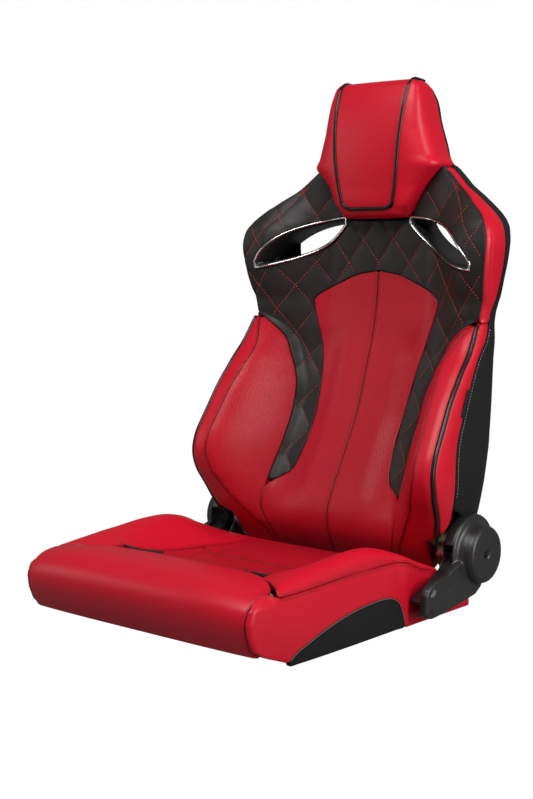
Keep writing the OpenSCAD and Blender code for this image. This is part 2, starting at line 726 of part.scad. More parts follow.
module recliner_cover(s) {
    wall = 3;
    deep = 48;
    step_x = 24;
    outer = [[0, cover_flange_r], [step_x - 5, cover_flange_r], [step_x, cover_flange_r - 5],
        [step_x + 5, cover_face_r + 3], [step_x + 14, cover_face_r], [deep - 6, cover_face_r - 1],
        [deep - 1, cover_face_r - 5], [deep, cover_face_r - 9]];
    inner = [[deep - wall, 0], [deep - wall, cover_face_r - wall - 6],
        [step_x + 2, cover_face_r - wall - 1], [step_x - wall, cover_flange_r - wall - 2],
        [0, cover_flange_r - wall]];
    color("#1d1c1b") scale([s, 1, 1]) difference() {
        union() {
            translate([cover_x, pivot_y, pivot_z]) rotate([0, 90, 0]) rotate_extrude($fn = 96)
                polygon([for (p = concat(outer, [[deep, 0]], inner)) [p.y, p.x]]);
            difference() {
                arm_block(0, 34);
                translate([-1, 0, 0]) arm_block(wall, 32);
                disc(cover_x - 2, 60, cover_flange_r - wall);
            }
        }
        lever_window();
        disc(cover_x + deep - 6, 8, 7);
    }
}

module arm_block(inset, depth) {
    translate([cover_x, pivot_y, pivot_z]) rotate([90, 0, 90]) linear_extrude(depth)
        polygon(arm_outline(inset));
}

// the gap in the cover's front wall that the lever leaves through, for its whole travel
module lever_window() {
    window = [[-8, -22], [-60, -46], [-172, -94], [-176, -20], [-160, 24], [-8, 16]];
    translate([cover_x - 1, pivot_y, pivot_z]) rotate([90, 0, 90]) linear_extrude(18)
        polygon(window);
}

module cover_screws() {
    color("#0d0d0d") mirrored() {
        disc(cover_x + 42, 4, 5);
        disc(lever_x + 16, cover_x + 42 - lever_x - 16, 2.4);
    }
}

side_rail(1);  // side_rail_left
side_rail(-1);  // side_rail_right
front_cross_tube();
rear_cross_tube();
seat_springs();
floor_mount_nuts();
cushion_foam();
cushion_insert();
cushion_quilt(1);  // cushion_quilt_left
cushion_quilt(-1);  // cushion_quilt_right
cushion_bolster(1);  // cushion_bolster_left
cushion_bolster(-1);  // cushion_bolster_right
cushion_front_roll();
cushion_side(1);  // cushion_side_left
cushion_side(-1);  // cushion_side_right
side_patch(1);  // side_patch_left
side_patch(-1);  // side_patch_right
recliner_bracket(1);  // recliner_bracket_left
recliner_bracket(-1);  // recliner_bracket_right
guide_disc(1);  // guide_disc_left
guide_disc(-1);  // guide_disc_right
recliner_cover(1);  // recliner_cover_left
recliner_cover(-1);  // recliner_cover_right
cover_screws();
bracket_bolts();
torsion_rod();
lever(1);  // lever_left
lever(-1);  // lever_right
release_cams();
pawls(1);  // upper_pawls
pawls(-1);  // lower_pawls
ring_disc(1);  // ring_disc_left
ring_disc(-1);  // ring_disc_right
back_bracket(1);  // back_bracket_left
back_bracket(-1);  // back_bracket_right
back_tube(1);  // back_tube_left
back_tube(-1);  // back_tube_right
shoulder_hoop();
back_lower_tube();
back_cross_tube();
lumbar_springs();
back_foam();
headrest_foam();
headrest_surround();
headrest_insert();
headrest_piping();
quilted_yoke();
centre_insert(1);  // centre_insert_left
centre_insert(-1);  // centre_insert_right
wing(1);  // wing_left
wing(-1);  // wing_right
wing_piping(1);  // wing_piping_left
wing_piping(-1);  // wing_piping_right
back_side(1);  // back_side_left
back_side(-1);  // back_side_right
side_tab();
rear_cover();
harness_bezel(1);  // harness_bezel_left
harness_bezel(-1);  // harness_bezel_right
harness_rings();
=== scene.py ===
import json
import math

import bmesh
import bpy
import numpy as np
from mathutils import Matrix, Vector


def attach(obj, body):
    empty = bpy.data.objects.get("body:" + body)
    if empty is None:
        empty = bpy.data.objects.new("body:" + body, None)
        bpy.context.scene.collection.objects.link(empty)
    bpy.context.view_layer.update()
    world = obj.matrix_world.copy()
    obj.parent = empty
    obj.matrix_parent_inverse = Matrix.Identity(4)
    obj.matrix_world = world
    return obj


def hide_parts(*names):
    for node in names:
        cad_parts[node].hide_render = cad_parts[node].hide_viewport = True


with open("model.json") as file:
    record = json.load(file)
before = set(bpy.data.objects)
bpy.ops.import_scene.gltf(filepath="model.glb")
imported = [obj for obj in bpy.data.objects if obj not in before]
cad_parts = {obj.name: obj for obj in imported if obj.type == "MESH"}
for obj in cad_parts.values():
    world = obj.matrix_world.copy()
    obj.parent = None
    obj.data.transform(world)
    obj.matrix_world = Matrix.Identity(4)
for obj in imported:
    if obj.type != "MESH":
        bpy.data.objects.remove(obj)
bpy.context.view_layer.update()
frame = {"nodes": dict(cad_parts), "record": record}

# ---- studio ----
# A broad soft box over the front, a tall one on the sitter's left and a weak fill on the right. The lens
# is a long one, at the height of the shoulders. The floor looks pure white, but it is dull grey to all
# other rays, so it throws little light up under the seat.
MM = 0.001
camera_data = bpy.data.cameras.new("camera")
camera_data.lens = 63.5
camera_data.shift_x = 0.0079
camera_data.shift_y = -0.003
camera = bpy.data.objects.new("camera", camera_data)
camera.location = (1.568, -1.852, 0.635)
camera.rotation_euler = (math.radians(90 - 6.12), 0, math.radians(40.61))
bpy.context.scene.collection.objects.link(camera)
bpy.context.scene.camera = camera


def soft_box(name, place, aim, width, height, power):
    """One area light at place, turned towards aim."""
    light = bpy.data.lights.new(name, "AREA")
    light.shape = "RECTANGLE"
    light.size = width
    light.size_y = height
    light.energy = power
    lamp = bpy.data.objects.new(name, light)
    lamp.location = place
    lamp.rotation_euler = (Vector(aim) - Vector(place)).to_track_quat("-Z", "Y").to_euler()
    bpy.context.scene.collection.objects.link(lamp)


soft_box("box_over_front", (0.3, -1.5, 2.6), (0, 0, 0.3), 1.9, 1.0, 62)
soft_box("box_left", (2.7, 0.1, 1.3), (0, 0, 0.45), 0.9, 2.2, 68)
soft_box("box_right", (-2.4, -1.6, 1.2), (0, 0, 0.5), 1.0, 1.6, 11)

world = bpy.data.worlds.new("white_room")
world.use_nodes = True
room = world.node_tree.nodes
room["Background"].inputs["Color"].default_value = (1, 1, 1, 1)
room["Background"].inputs["Strength"].default_value = 0.16
seen = room.new("ShaderNodeBackground")
seen.inputs["Color"].default_value = (1, 1, 1, 1)
ray = room.new("ShaderNodeLightPath")
chosen = room.new("ShaderNodeMixShader")
world.node_tree.links.new(ray.outputs["Is Camera Ray"], chosen.inputs[0])
world.node_tree.links.new(room["Background"].outputs[0], chosen.inputs[1])
world.node_tree.links.new(seen.outputs[0], chosen.inputs[2])
world.node_tree.links.new(chosen.outputs[0], room["World Output"].inputs["Surface"])
bpy.context.scene.world = world
bpy.context.scene.view_settings.view_transform = "Standard"

sweep = bmesh.new()
bmesh.ops.create_grid(sweep, x_segments=1, y_segments=1, size=400)
sweep_mesh = bpy.data.meshes.new("floor")
sweep.to_mesh(sweep_mesh)
sweep.free()
floor = bpy.data.objects.new("floor", sweep_mesh)
bpy.context.scene.collection.objects.link(floor)
floor_paint = bpy.data.materials.new("floor_paint")
floor_paint.use_nodes = True
paint = floor_paint.node_tree
paint.nodes["Principled BSDF"].inputs["Base Color"].default_value = (0.22, 0.22, 0.22, 1)
paint.nodes["Principled BSDF"].inputs["Roughness"].default_value = 0.9
paper = paint.nodes.new("ShaderNodeEmission")
straight = paint.nodes.new("ShaderNodeLightPath")
blend = paint.nodes.new("ShaderNodeMixShader")
paint.links.new(straight.outputs["Is Camera Ray"], blend.inputs[0])
paint.links.new(paint.nodes["Principled BSDF"].outputs[0], blend.inputs[1])
paint.links.new(paper.outputs[0], blend.inputs[2])
paint.links.new(blend.outputs[0], paint.nodes["Material Output"].inputs["Surface"])
floor.data.materials.append(floor_paint)

# ---- finishes that several pieces share ----
# Coated leather with a fine pebble grain, the same leather punched with small holes or dyed black,
# moulded plastic with a fine texture, and painted, bare and plated steel.


def node_group(name, inputs, outputs):
    """An empty shader group with named sockets; inputs and outputs are (name, kind, value)."""
    group = bpy.data.node_groups.new(name, "ShaderNodeTree")
    for label, kind, value in inputs:
        socket = group.interface.new_socket(label, in_out="INPUT", socket_type="NodeSocket" + kind)
        if value is not None:
            socket.default_value = value
    for label, kind, _ in outputs:
        group.interface.new_socket(label, in_out="OUTPUT", socket_type="NodeSocket" + kind)
    return group, group.nodes.new("NodeGroupInput"), group.nodes.new("NodeGroupOutput")


def feed(tree, made, links):
    """Links or sets inputs of a node; links are (input, output socket or value) pairs."""
    for place, source in links:
        if hasattr(source, "is_output"):
            tree.links.new(source, made.inputs[place])
        else:
            made.inputs[place].default_value = source
    return made


def node(tree, kind, links=(), **values):
    """A node with its settings, fed as feed says."""
    made = tree.nodes.new("ShaderNode" + kind)
    for key, value in values.items():
        setattr(made, key, value)
    return feed(tree, made, links)


def grain_group():
    """Pebble grain of coated leather: a height, and a slow change of tone across the hide."""
    group, start, end = node_group(
        "leather_grain",
        [("Vector", "Vector", None), ("Pebbles", "Float", 900.0)],
        [("Height", "Float", None), ("Tone", "Float", None)],
    )
    pebble = node(group, "TexVoronoi", feature="SMOOTH_F1", links=[
        ("Vector", start.outputs["Vector"]), ("Scale", start.outputs["Pebbles"]), ("Smoothness", 0.6)])
    coarse = node(group, "Math", operation="MULTIPLY", links=[(0, start.outputs["Pebbles"]), (1, 0.3)])
    pores = node(group, "TexNoise", links=[
        ("Vector", start.outputs["Vector"]), ("Scale", coarse.outputs[0]), ("Detail", 3.0)])
    height = node(group, "Math", operation="MULTIPLY_ADD", links=[
        (0, pebble.outputs["Distance"]), (1, 0.8), (2, pores.outputs[0])])
    tone = node(group, "TexNoise", links=[
        ("Vector", start.outputs["Vector"]), ("Scale", 11.0), ("Detail", 2.5)])
    group.links.new(height.outputs[0], end.inputs["Height"])
    group.links.new(tone.outputs[0], end.inputs["Tone"])
    return group


def punched_group():
    """Rows of small round holes, each row shifted by half a pitch: 1 in a hole and 0 between."""
    group, start, end = node_group(
        "punched_holes",
        [("Vector", "Vector", None), ("Pitch", "Float", 0.004), ("Radius", "Float", 0.16)],
        [("Hole", "Float", None)],
    )
    cells = node(group, "VectorMath", operation="DIVIDE", links=[(0, start.outputs["Vector"])])
    group.links.new(start.outputs["Pitch"], cells.inputs[1])
    reach = []
    for shift in (0.0, 0.5):
        moved = node(group, "VectorMath", operation="ADD",
                     links=[(0, cells.outputs[0]), (1, (shift, shift, 0.0))])
        inside = node(group, "VectorMath", operation="FRACTION", links=[(0, moved.outputs[0])])
        centred = node(group, "VectorMath", operation="SUBTRACT",
                       links=[(0, inside.outputs[0]), (1, (0.5, 0.5, 0.0))])
        flat = node(group, "VectorMath", operation="MULTIPLY",
                    links=[(0, centred.outputs[0]), (1, (1.0, 1.0, 0.0))])
        reach.append(node(group, "VectorMath", operation="LENGTH", links=[(0, flat.outputs[0])]))
    nearest = node(group, "Math", operation="MINIMUM",
                   links=[(0, reach[0].outputs["Value"]), (1, reach[1].outputs["Value"])])
    wide = node(group, "Math", operation="MULTIPLY", links=[(0, start.outputs["Radius"]), (1, 1.35)])
    hole = node(group, "MapRange", interpolation_type="SMOOTHSTEP", links=[
        ("Value", nearest.outputs[0]), ("From Min", start.outputs["Radius"]),
        ("From Max", wide.outputs[0]), ("To Min", 1.0), ("To Max", 0.0)])
    group.links.new(hole.outputs[0], end.inputs["Hole"])
    return group


def seam_shade_and_wear_group():
    """Painted shade and handling wear along a seam or an edge: reads the piece's own rim attribute, broken up
    by noise.
    """
    group, start, end = node_group(
        "seam_shade_and_wear",
        [("Vector", "Vector", None), ("Width", "Float", 0.35)],
        [("Rim", "Float", None)],
    )
    rim = node(group, "Attribute", attribute_name="rim", attribute_type="GEOMETRY")
    patches = node(group, "TexNoise", links=[
        ("Vector", start.outputs["Vector"]), ("Scale", 60.0), ("Detail", 2.0)])
    spread = node(group, "Math", operation="MULTIPLY_ADD",
                  links=[(0, patches.outputs[0]), (1, 0.5), (2, 0.6)])
    edge = node(group, "Math", operation="MULTIPLY",
                links=[(0, rim.outputs["Fac"]), (1, spread.outputs[0])])
    group.links.new(edge.outputs[0], end.inputs["Rim"])
    return group


GRAIN = grain_group()
PUNCHED = punched_group()
SEAM_SHADE_AND_WEAR = seam_shade_and_wear_group()


def use(tree, group, links=()):
    """One use of a shared group in a material."""
    made = tree.nodes.new("ShaderNodeGroup")
    made.node_tree = group
    return feed(tree, made, links)


def mix(tree, share, low, high):
    """A colour between low and high."""
    return node(tree, "Mix", [(0, share), (6, low), (7, high)], data_type="RGBA").outputs[2]


def leather(name, light, dark, seam, rough, pebbles=900.0, bump=0.00012, holes=False, sheen=0.0,
            shine=0.30):
    """Coated leather between two tones, darkened towards its seam colour along its seams by painted shade and
    handling wear, with pebble grain and, if punched, holes.
    """
    made = bpy.data.materials.new(name)
    made.use_nodes = True
    tree = made.node_tree
    skin = tree.nodes["Principled BSDF"]
    place = node(tree, "TexCoord")
    grain = use(tree, GRAIN, [("Vector", place.outputs["Object"]), ("Pebbles", pebbles)])
    rim = use(tree, SEAM_SHADE_AND_WEAR, [("Vector", place.outputs["Object"])])
    tone = mix(tree, grain.outputs["Tone"], light, dark)
    # painted shade and handling wear: the colour darkens towards the seam colour along each panel's rim
    colour = mix(tree, rim.outputs["Rim"], tone, seam)
    height = grain.outputs["Height"]
    if holes:
        punched = use(tree, PUNCHED, [("Vector", place.outputs["UV"])])
        pit = tuple(0.12 * c for c in dark[:3]) + (1,)
        colour = mix(tree, punched.outputs["Hole"], colour, pit)
        sunk = node(tree, "Math", operation="MULTIPLY_ADD",
                    links=[(0, punched.outputs["Hole"]), (1, -6.0), (2, height)])
        height = sunk.outputs[0]
    tree.links.new(colour, skin.inputs["Base Color"])
    gloss = node(tree, "MapRange", links=[
        ("Value", grain.outputs["Height"]), ("From Min", 0.3), ("From Max", 1.2),
        ("To Min", rough + 0.06), ("To Max", rough - 0.04)])
    tree.links.new(gloss.outputs[0], skin.inputs["Roughness"])
    relief = node(tree, "Bump", links=[("Height", height), ("Distance", bump), ("Strength", 0.55)])
    tree.links.new(relief.outputs[0], skin.inputs["Normal"])
    skin.inputs["Sheen Weight"].default_value = sheen
    skin.inputs["Sheen Roughness"].default_value = 0.5
    skin.inputs["Specular IOR Level"].default_value = shine
    return made


# the third colour of each leather is its seam colour: painted shade and handling wear in the seam grooves
RED_LIGHT = (0.56, 0.004, 0.020, 1)
RED_DARK = (0.49, 0.003, 0.016, 1)
RED_SEAM_SHADE_AND_WEAR = (0.30, 0.001, 0.008, 1)
red_leather = leather("red_leather", RED_LIGHT, RED_DARK, RED_SEAM_SHADE_AND_WEAR, 0.40)
red_punched = leather("red_punched_leather", RED_LIGHT, RED_DARK, RED_SEAM_SHADE_AND_WEAR, 0.42, holes=True)
black_leather = leather(
    "black_quilted_leather", (0.024, 0.020, 0.019, 1), (0.016, 0.014, 0.013, 1),
    (0.010, 0.009, 0.009, 1), 0.46, pebbles=700.0, bump=0.00025, shine=0.26)
black_cloth = leather(
    "black_trim_cloth", (0.010, 0.009, 0.009, 1), (0.007, 0.006, 0.006, 1),
    (0.005, 0.005, 0.005, 1), 0.62, pebbles=1500.0, bump=0.0002, sheen=0.02, shine=0.18)


def thread(name, colour, rough=0.55):
    """Twisted sewing thread: fine ridges across the stitch, with painted shade in the grooves between them.
    """
    made = bpy.data.materials.new(name)
    made.use_nodes = True
    tree = made.node_tree
    skin = tree.nodes["Principled BSDF"]
    place = node(tree, "TexCoord")
    ply = node(tree, "TexWave", bands_direction="DIAGONAL", links=[
        ("Vector", place.outputs["Object"]), ("Scale", 700.0), ("Distortion", 1.0)])
    # painted shade: the thread darkens to six tenths of its colour in the grooves between the plies, where
    # the bump is low
    ply_groove_shade = tuple(0.6 * c for c in colour[:3]) + (1,)
    tree.links.new(mix(tree, ply.outputs["Fac"], ply_groove_shade, colour), skin.inputs["Base Color"])
    relief = node(tree, "Bump", links=[("Height", ply.outputs["Fac"]), ("Distance", 0.0001)])
    tree.links.new(relief.outputs[0], skin.inputs["Normal"])
    skin.inputs["Roughness"].default_value = rough
    return made


red_thread = thread("red_thread", (0.70, 0.055, 0.035, 1))
black_thread = thread("black_thread", (0.012, 0.010, 0.010, 1))
pale_thread = thread("pale_thread", (0.55, 0.52, 0.50, 1))

# ---- centre insert of the backrest ----
# Two foam-backed halves of punched red leather, joined down the middle by a raised twin-needle seam.
# Each panel is cut from a flat grid, its rim is rolled down into the seam and it is backed with foam.


def curve(pairs):
    """A smooth line through (place, value) pairs, level beyond its two ends."""
    at, value = np.array(pairs, float).T
    gap = np.diff(at)
    slope = np.diff(value) / gap
    lean = np.concatenate(([slope[0]], (slope[:-1] * gap[1:] + slope[1:] * gap[:-1])
                           / (gap[:-1] + gap[1:]), [slope[-1]]))

    def line(t):
        t = np.clip(t, at[0], at[-1])
        i = np.clip(np.searchsorted(at, t) - 1, 0, len(gap) - 1)
        h = gap[i]
        u = (t - at[i]) / h
        return (value[i] * (2 * u**3 - 3 * u**2 + 1) + value[i + 1] * (3 * u**2 - 2 * u**3)
                + h * (lean[i] * (u**3 - 2 * u**2 + u) + lean[i + 1] * (u**3 - u**2)))
    return line


def ramp(t, start, end):
    u = np.clip((t - start) / (end - start), 0, 1)
    return u * u * (3 - 2 * u)


spine = curve([(60, 196), (90, 180), (120, 167), (150, 165), (175, 173), (200, 186), (230, 203),
               (260, 219), (325, 253), (365, 268), (410, 283), (470, 302), (535, 315), (590, 319),
               (700, 318), (800, 322), (940, 330)])
half_width = curve([(60, 205), (80, 225), (102, 236), (125, 250), (155, 262), (186, 270),
                    (220, 276), (270, 276), (325, 272), (390, 267), (430, 264), (470, 261),
                    (500, 258), (520, 260), (545, 267), (575, 273), (610, 279), (650, 280),
                    (675, 272), (693, 256), (710, 235), (727, 212), (742, 190), (762, 167),
                    (782, 143)])
wing_rise = curve([(85, 0), (102, 4), (127, 15), (153, 33), (180, 58), (210, 91), (243, 118),
                   (278, 130), (310, 129), (342, 123), (373, 114), (402, 100), (430, 81),
                   (455, 56), (475, 36), (495, 12), (505, 0)])
wing_start = curve([(50, 122), (70, 128), (85, 134), (110, 144), (150, 155), (182, 152), (207, 151),
                    (260, 146), (345, 147), (372, 150), (400, 160), (430, 174), (465, 193),
                    (495, 230), (505, 248)])
wing_ridge = curve([(50, 140), (85, 150), (102, 160), (127, 178), (153, 197), (180, 215), (210, 228),
                    (243, 237), (278, 238), (310, 235), (342, 232), (373, 228), (402, 223),
                    (430, 219), (460, 224), (495, 244), (505, 252)])
shoulder_rise = curve([(400, 0), (440, 8), (465, 22), (490, 36), (512, 45), (535, 50), (560, 60),
                       (590, 69), (647, 71), (674, 62), (693, 48), (710, 37), (727, 24),
                       (742, 14), (762, 4), (782, 0)])
insert_edge = curve([(50, 122), (70, 128), (85, 134), (110, 144), (150, 155), (182, 152), (198, 134),
                     (207, 118), (220, 110), (243, 105), (270, 101), (325, 101), (353, 103), (383, 106),
                     (412, 110), (441, 117), (471, 126), (501, 136), (520, 141), (531, 142),
                     (541, 135), (550, 121), (562, 95), (573, 69), (582, 44), (588, 4)])


def back_front(x, z):
    """The front face of the backrest, in millimetres, from the distance off the middle and the height."""
    x, z = np.broadcast_arrays(np.asarray(x, float), np.asarray(z, float))
    off = np.abs(x)
    hollow = np.clip(1 - ((off - 104) / 50) ** 2, 0, None) ** 2
    y = (spine(z) + 8 * hollow * ramp(z, 120, 200) * (1 - ramp(z, 430, 500))
         - wing_rise(z) * ramp(off, wing_start(z) - 18, wing_ridge(z) + 4)
         - shoulder_rise(z) * ramp(off, 105, 238)
         + 9 * np.clip((off - half_width(z) + 20) / 20, 0, 1) ** 2 * ramp(z, 120, 180)
         * (1 - ramp(z, 470, 500)))
    return np.stack([x, y, z], -1)


def facing(place, u, v):
    """Unit normals of a surface that is given as place(u, v)."""
    step = 0.4
    across = place(u + step, v) - place(u - step, v)
    along = place(u, v + step) - place(u, v - step)
    out = np.cross(across, along)
    return out / np.linalg.norm(out, axis=-1, keepdims=True)


def rim_distance(points, rims):
    """How far points lie inside the first rim and outside the others, and the nearest rim point."""
    best = np.full(len(points), 1e9)
    near = np.zeros_like(points)
    inside = np.zeros(len(points), bool)
    for rim in rims:
        for a, b in zip(rim, np.roll(rim, -1, 0)):
            way = b - a
            length = way @ way
            if length < 1e-9:
                continue
            share = np.clip((points - a) @ way / length, 0, 1)
            foot = a + share[:, None] * way
            gap = np.hypot(*(points - foot).T)
            closer = gap < best
            best[closer] = gap[closer]
            near[closer] = foot[closer]
            crosses = (a[1] > points[:, 1]) != (b[1] > points[:, 1])
            if way[1]:
                at = a[0] + (points[:, 1] - a[1]) / way[1] * way[0]
                inside ^= crosses & (points[:, 0] < at)
    return np.where(inside, best, -best), near


def cut_sheet(rims, cell, inset):
    """A flat grid cut along the rims, drawn in by inset, in a bmesh."""
    rims = [np.array(rim, float) for rim in rims]
    low = rims[0].min(0) - cell
    size = rims[0].max(0) + cell - low
    count = np.ceil(size / cell).astype(int)
    bm = bmesh.new()
    bmesh.ops.create_grid(bm, x_segments=int(count[0]), y_segments=int(count[1]), size=0.5)
    bmesh.ops.scale(bm, vec=(size[0], size[1], 1), verts=bm.verts)
    bmesh.ops.translate(bm, vec=(low[0] + size[0] / 2, low[1] + size[1] / 2, 0), verts=bm.verts)
    bmesh.ops.triangulate(bm, faces=bm.faces)
    level = bm.verts.layers.float.new("level")
    flat = np.array([v.co[:2] for v in bm.verts])
    inside, near = rim_distance(flat, rims)
    excess = inside - inset
    for vert, f, d, q in zip(bm.verts, excess, inside, near):
        vert[level] = f
        if abs(f) < 0.28 * cell and abs(d) > 1e-6:
            way = (Vector((*q, 0)) - vert.co) / d
            vert.co += way * f
            vert[level] = 0.0
    for edge in bm.edges[:]:
        a, b = edge.verts
        if a[level] * b[level] < -1e-12:
            share = a[level] / (a[level] - b[level])
            _, new = bmesh.utils.edge_split(edge, a, share)
            new[level] = 0.0
    bmesh.ops.connect_verts(bm, verts=[v for v in bm.verts if v[level] == 0.0])
    bmesh.ops.delete(bm, geom=[v for v in bm.verts if v[level] < 0], context="VERTS")
    stray = []
    for face in bm.faces:
        if all(v[level] == 0.0 for v in face.verts):
            middle = np.array([face.calc_center_median()[:2]])
            if rim_distance(middle, rims)[0][0] < inset:
                stray.append(face)
    bmesh.ops.delete(bm, geom=stray, context="FACES")
    loose = [v for v in bm.verts if not v.link_faces]
    bmesh.ops.delete(bm, geom=loose, context="VERTS")
    return bm, rims


def sewn_panel(rims, place, depth, cell=4.0, edge=4.5, sink=4.0, relief=None, start=(0, 0)):
    """A foam-backed panel between seams: a sheet whose rim rolls down, closed by a back of its own.

    The back lies a depth behind the sheet, or is the sheet shifted by depth where that is a vector."""
    bm, rims = cut_sheet(rims, cell, edge)
    drop = bm.verts.layers.float.new("drop")
    out_u = bm.verts.layers.float.new("out_u")
    out_v = bm.verts.layers.float.new("out_v")
    border = [e for e in bm.edges if e.is_boundary]
    ends = list({v for e in border for v in e.verts})
    _, near = rim_distance(np.array([v.co[:2] for v in ends]), rims)
    for vert, q in zip(ends, near):
        way = Vector((*q, 0)) - vert.co
        way = way.normalized() if way.length > 1e-6 else Vector((0, 0, 0))
        vert[out_u], vert[out_v] = way.x, way.y
    rounds = 4
    for k in range(1, rounds + 1):
        turn, before = math.pi / 2 * k / rounds, math.pi / 2 * (k - 1) / rounds
        made = bmesh.ops.extrude_edge_only(bm, edges=border)
        fresh = [g for g in made["geom"] if isinstance(g, bmesh.types.BMVert)]
        for vert in fresh:
            vert.co += Vector((vert[out_u], vert[out_v], 0)) * edge * (math.sin(turn) - math.sin(before))
            vert[drop] = sink * (1 - math.cos(turn))
        border = [e for e in bm.edges if e.is_boundary]
    flat = np.array([v.co[:2] for v in bm.verts])
    u, v = flat.T
    lower = np.array([vert[drop] for vert in bm.verts])
    out = facing(place, u, v)
    rise = -lower
    if relief is not None:
        rise = rise + relief(u, v)
    points = (place(u, v) + out * rise[:, None]) * MM
    inside, _ = rim_distance(flat, rims)
    lengths = []
    for whole, goal in ((u, start[0]), (v, start[1])):
        walk = [goal + (whole - goal) * k / 12 for k in range(13)]
        path = [place(w, v) if whole is u else place(u, w) for w in walk]
        length = sum(np.linalg.norm(b - a, axis=-1) for a, b in zip(path[:-1], path[1:]))
        lengths.append(np.sign(whole - goal) * length * MM)
    # rim runs from 1 on the panel's rim to 0 five millimetres in; the leather darkens with it as painted seam
    # shade and handling wear
    rim = bm.verts.layers.float.new("rim")
    measured = bm.loops.layers.uv.new("cut")
    bm.verts.index_update()
    for vert, p, d in zip(bm.verts, points, inside):
        vert.co = p
        vert[rim] = max(0.0, 1 - max(d, 0) / 5)
    for face in bm.faces:
        for loop in face.loops:
            loop[measured].uv = (lengths[0][loop.vert.index], lengths[1][loop.vert.index])
    away = bm.verts.layers.float_vector.new("away")
    for vert, normal in zip(bm.verts, out):
        vert[away] = normal
    back = bmesh.ops.extrude_face_region(bm, geom=bm.faces[:])
    fresh = [g for g in back["geom"] if isinstance(g, bmesh.types.BMVert)]
    for vert in fresh:
        vert.co += (Vector(depth) if isinstance(depth, tuple) else vert[away] * -depth) * MM
    bm.verts.layers.float_vector.remove(away)
    bmesh.ops.recalc_face_normals(bm, faces=bm.faces)
    for name in ("level", "drop", "out_u", "out_v"):
        bm.verts.layers.float.remove(bm.verts.layers.float[name])
    return bm


def flip(bm):
    """The same piece for the sitter's right."""
    bmesh.ops.scale(bm, vec=(-1, 1, 1), verts=bm.verts)
    bmesh.ops.reverse_faces(bm, faces=bm.faces)
    return bm


def finish_piece(bm, name, material, body, replaced=()):
    mesh = bpy.data.meshes.new(name)
    bm.to_mesh(mesh)
    bm.free()
    mesh.polygons.foreach_set("use_smooth", [True] * len(mesh.polygons))
    mesh.materials.append(material)
    piece = bpy.data.objects.new(name, mesh)
    bpy.context.scene.collection.objects.link(piece)
    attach(piece, body)
    if replaced:
        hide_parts(*replaced)
    return piece


def run(edge, start, end, step=6.0):
    """Points of an edge that is given as a value over height, from start to end."""
    heights = np.linspace(start, end, max(2, int(abs(end - start) / step) + 1))
    return [(float(edge(h)), float(h)) for h in heights]


def stitch_row(bm, place, path, pitch=5.6, length=4.0, width=1.0, relief=None, lift=0.25):
    """Stitches along a path of (u, v) points on a surface: small long beads half sunk in the leather."""
    path = np.array(path, float)
    fine = np.concatenate([a + (b - a) * np.linspace(0, 1, 8, endpoint=False)[:, None]
                           for a, b in zip(path[:-1], path[1:])] + [path[-1:]])
    out = facing(place, *fine.T)
    rise = lift if relief is None else lift + relief(*fine.T)
    points = place(*fine.T) + out * np.reshape(rise, (-1, 1))
    along = np.concatenate([[0], np.cumsum(np.linalg.norm(np.diff(points, axis=0), axis=1))])
    count = max(1, int(along[-1] / pitch))
    for at in (np.arange(count) + 0.5) * along[-1] / count:
        middle, up, tip, tail = (
            np.array([np.interp(s, along, data[:, k]) for k in range(3)])
            for s, data in ((at, points), (at, out), (at + length / 2, points), (at - length / 2, points)))
        way = Vector(tip - tail).normalized()
        side = Vector(up).cross(way).normalized()
        top = way.cross(side)
        turn = Matrix((way * length / 2, side * width / 2, top * width / 2)).transposed() * MM
        pose = Matrix.Translation(Vector(middle) * MM) @ turn.to_4x4()
        bmesh.ops.create_icosphere(bm, subdivisions=1, radius=1.0, matrix=pose)


SEAM_GAP = 0.25
SEAM_TWIN = 5.0
INSERT_LOW = 53.0
INSERT_HIGH = 588.0


def insert_relief(x, z):
    """The twin-needle rows press the leather down on both sides of the middle seam."""
    return -0.9 * np.exp(-((np.abs(x) - SEAM_TWIN) / 1.6) ** 2)


insert_rim = ([(SEAM_GAP, INSERT_LOW)] + run(lambda z: insert_edge(z) - SEAM_GAP, INSERT_LOW, INSERT_HIGH)
              + [(SEAM_GAP, INSERT_HIGH)])
for side in ("left", "right"):
    half = sewn_panel([insert_rim], back_front, (0, 20, 0), cell=4.0, edge=2.0, sink=1.8,
                      relief=insert_relief)
    if side == "right":
        half = flip(half)
    finish_piece(half, "back_insert_" + side, red_punched, "backrest",
                 ["centre_insert_" + side])
seam = bmesh.new()
for x in (-SEAM_TWIN, SEAM_TWIN):
    stitch_row(seam, back_front, [(x, z) for z in np.linspace(84, 580, 90)], relief=insert_relief)
finish_piece(seam, "back_insert_stitches", black_thread, "backrest")

# ---- quilted yoke ----
# One piece of black leather over the shoulders and down beside the insert, quilted in diamonds with
# red thread over thin foam; it is cut out round the two harness openings.
yoke_neck = curve([(683, 61), (698, 79), (712, 86), (726, 93), (740, 102), (754, 113), (768, 126),
                   (782, 139)])
DIAMOND_RISE = 90.0
DIAMOND_SLOPE = 1.29
DIAMOND_START = 603.0
slot_inner = np.array([80.0, 682.0])
slot_way = np.array([0.89, -0.456])
slot_up = np.array([0.456, 0.89])
SLOT_LENGTH = 180.0


def slot_loop(grow, count=26):
    """The eye-shaped outline of a harness opening, grown by grow, clockwise from its inner tip."""
    tip = slot_inner - slot_way * grow * 1.6
    span = SLOT_LENGTH + 3.2 * grow
    points = []
    for rise, skew, order in ((25, 1.15, 1), (-19, 0.85, -1)):
        for t in np.linspace(0, 1, count, endpoint=False)[::order] + (0 if order > 0 else 1 / count):
            swell = max(0.0, math.sin(math.pi * t**skew)) ** 0.8
            high = math.copysign(1, rise) * grow * 0.7 + (rise + math.copysign(0.3 * grow, rise)) * swell
            points.append(tip + slot_way * span * t + slot_up * high)
    return points


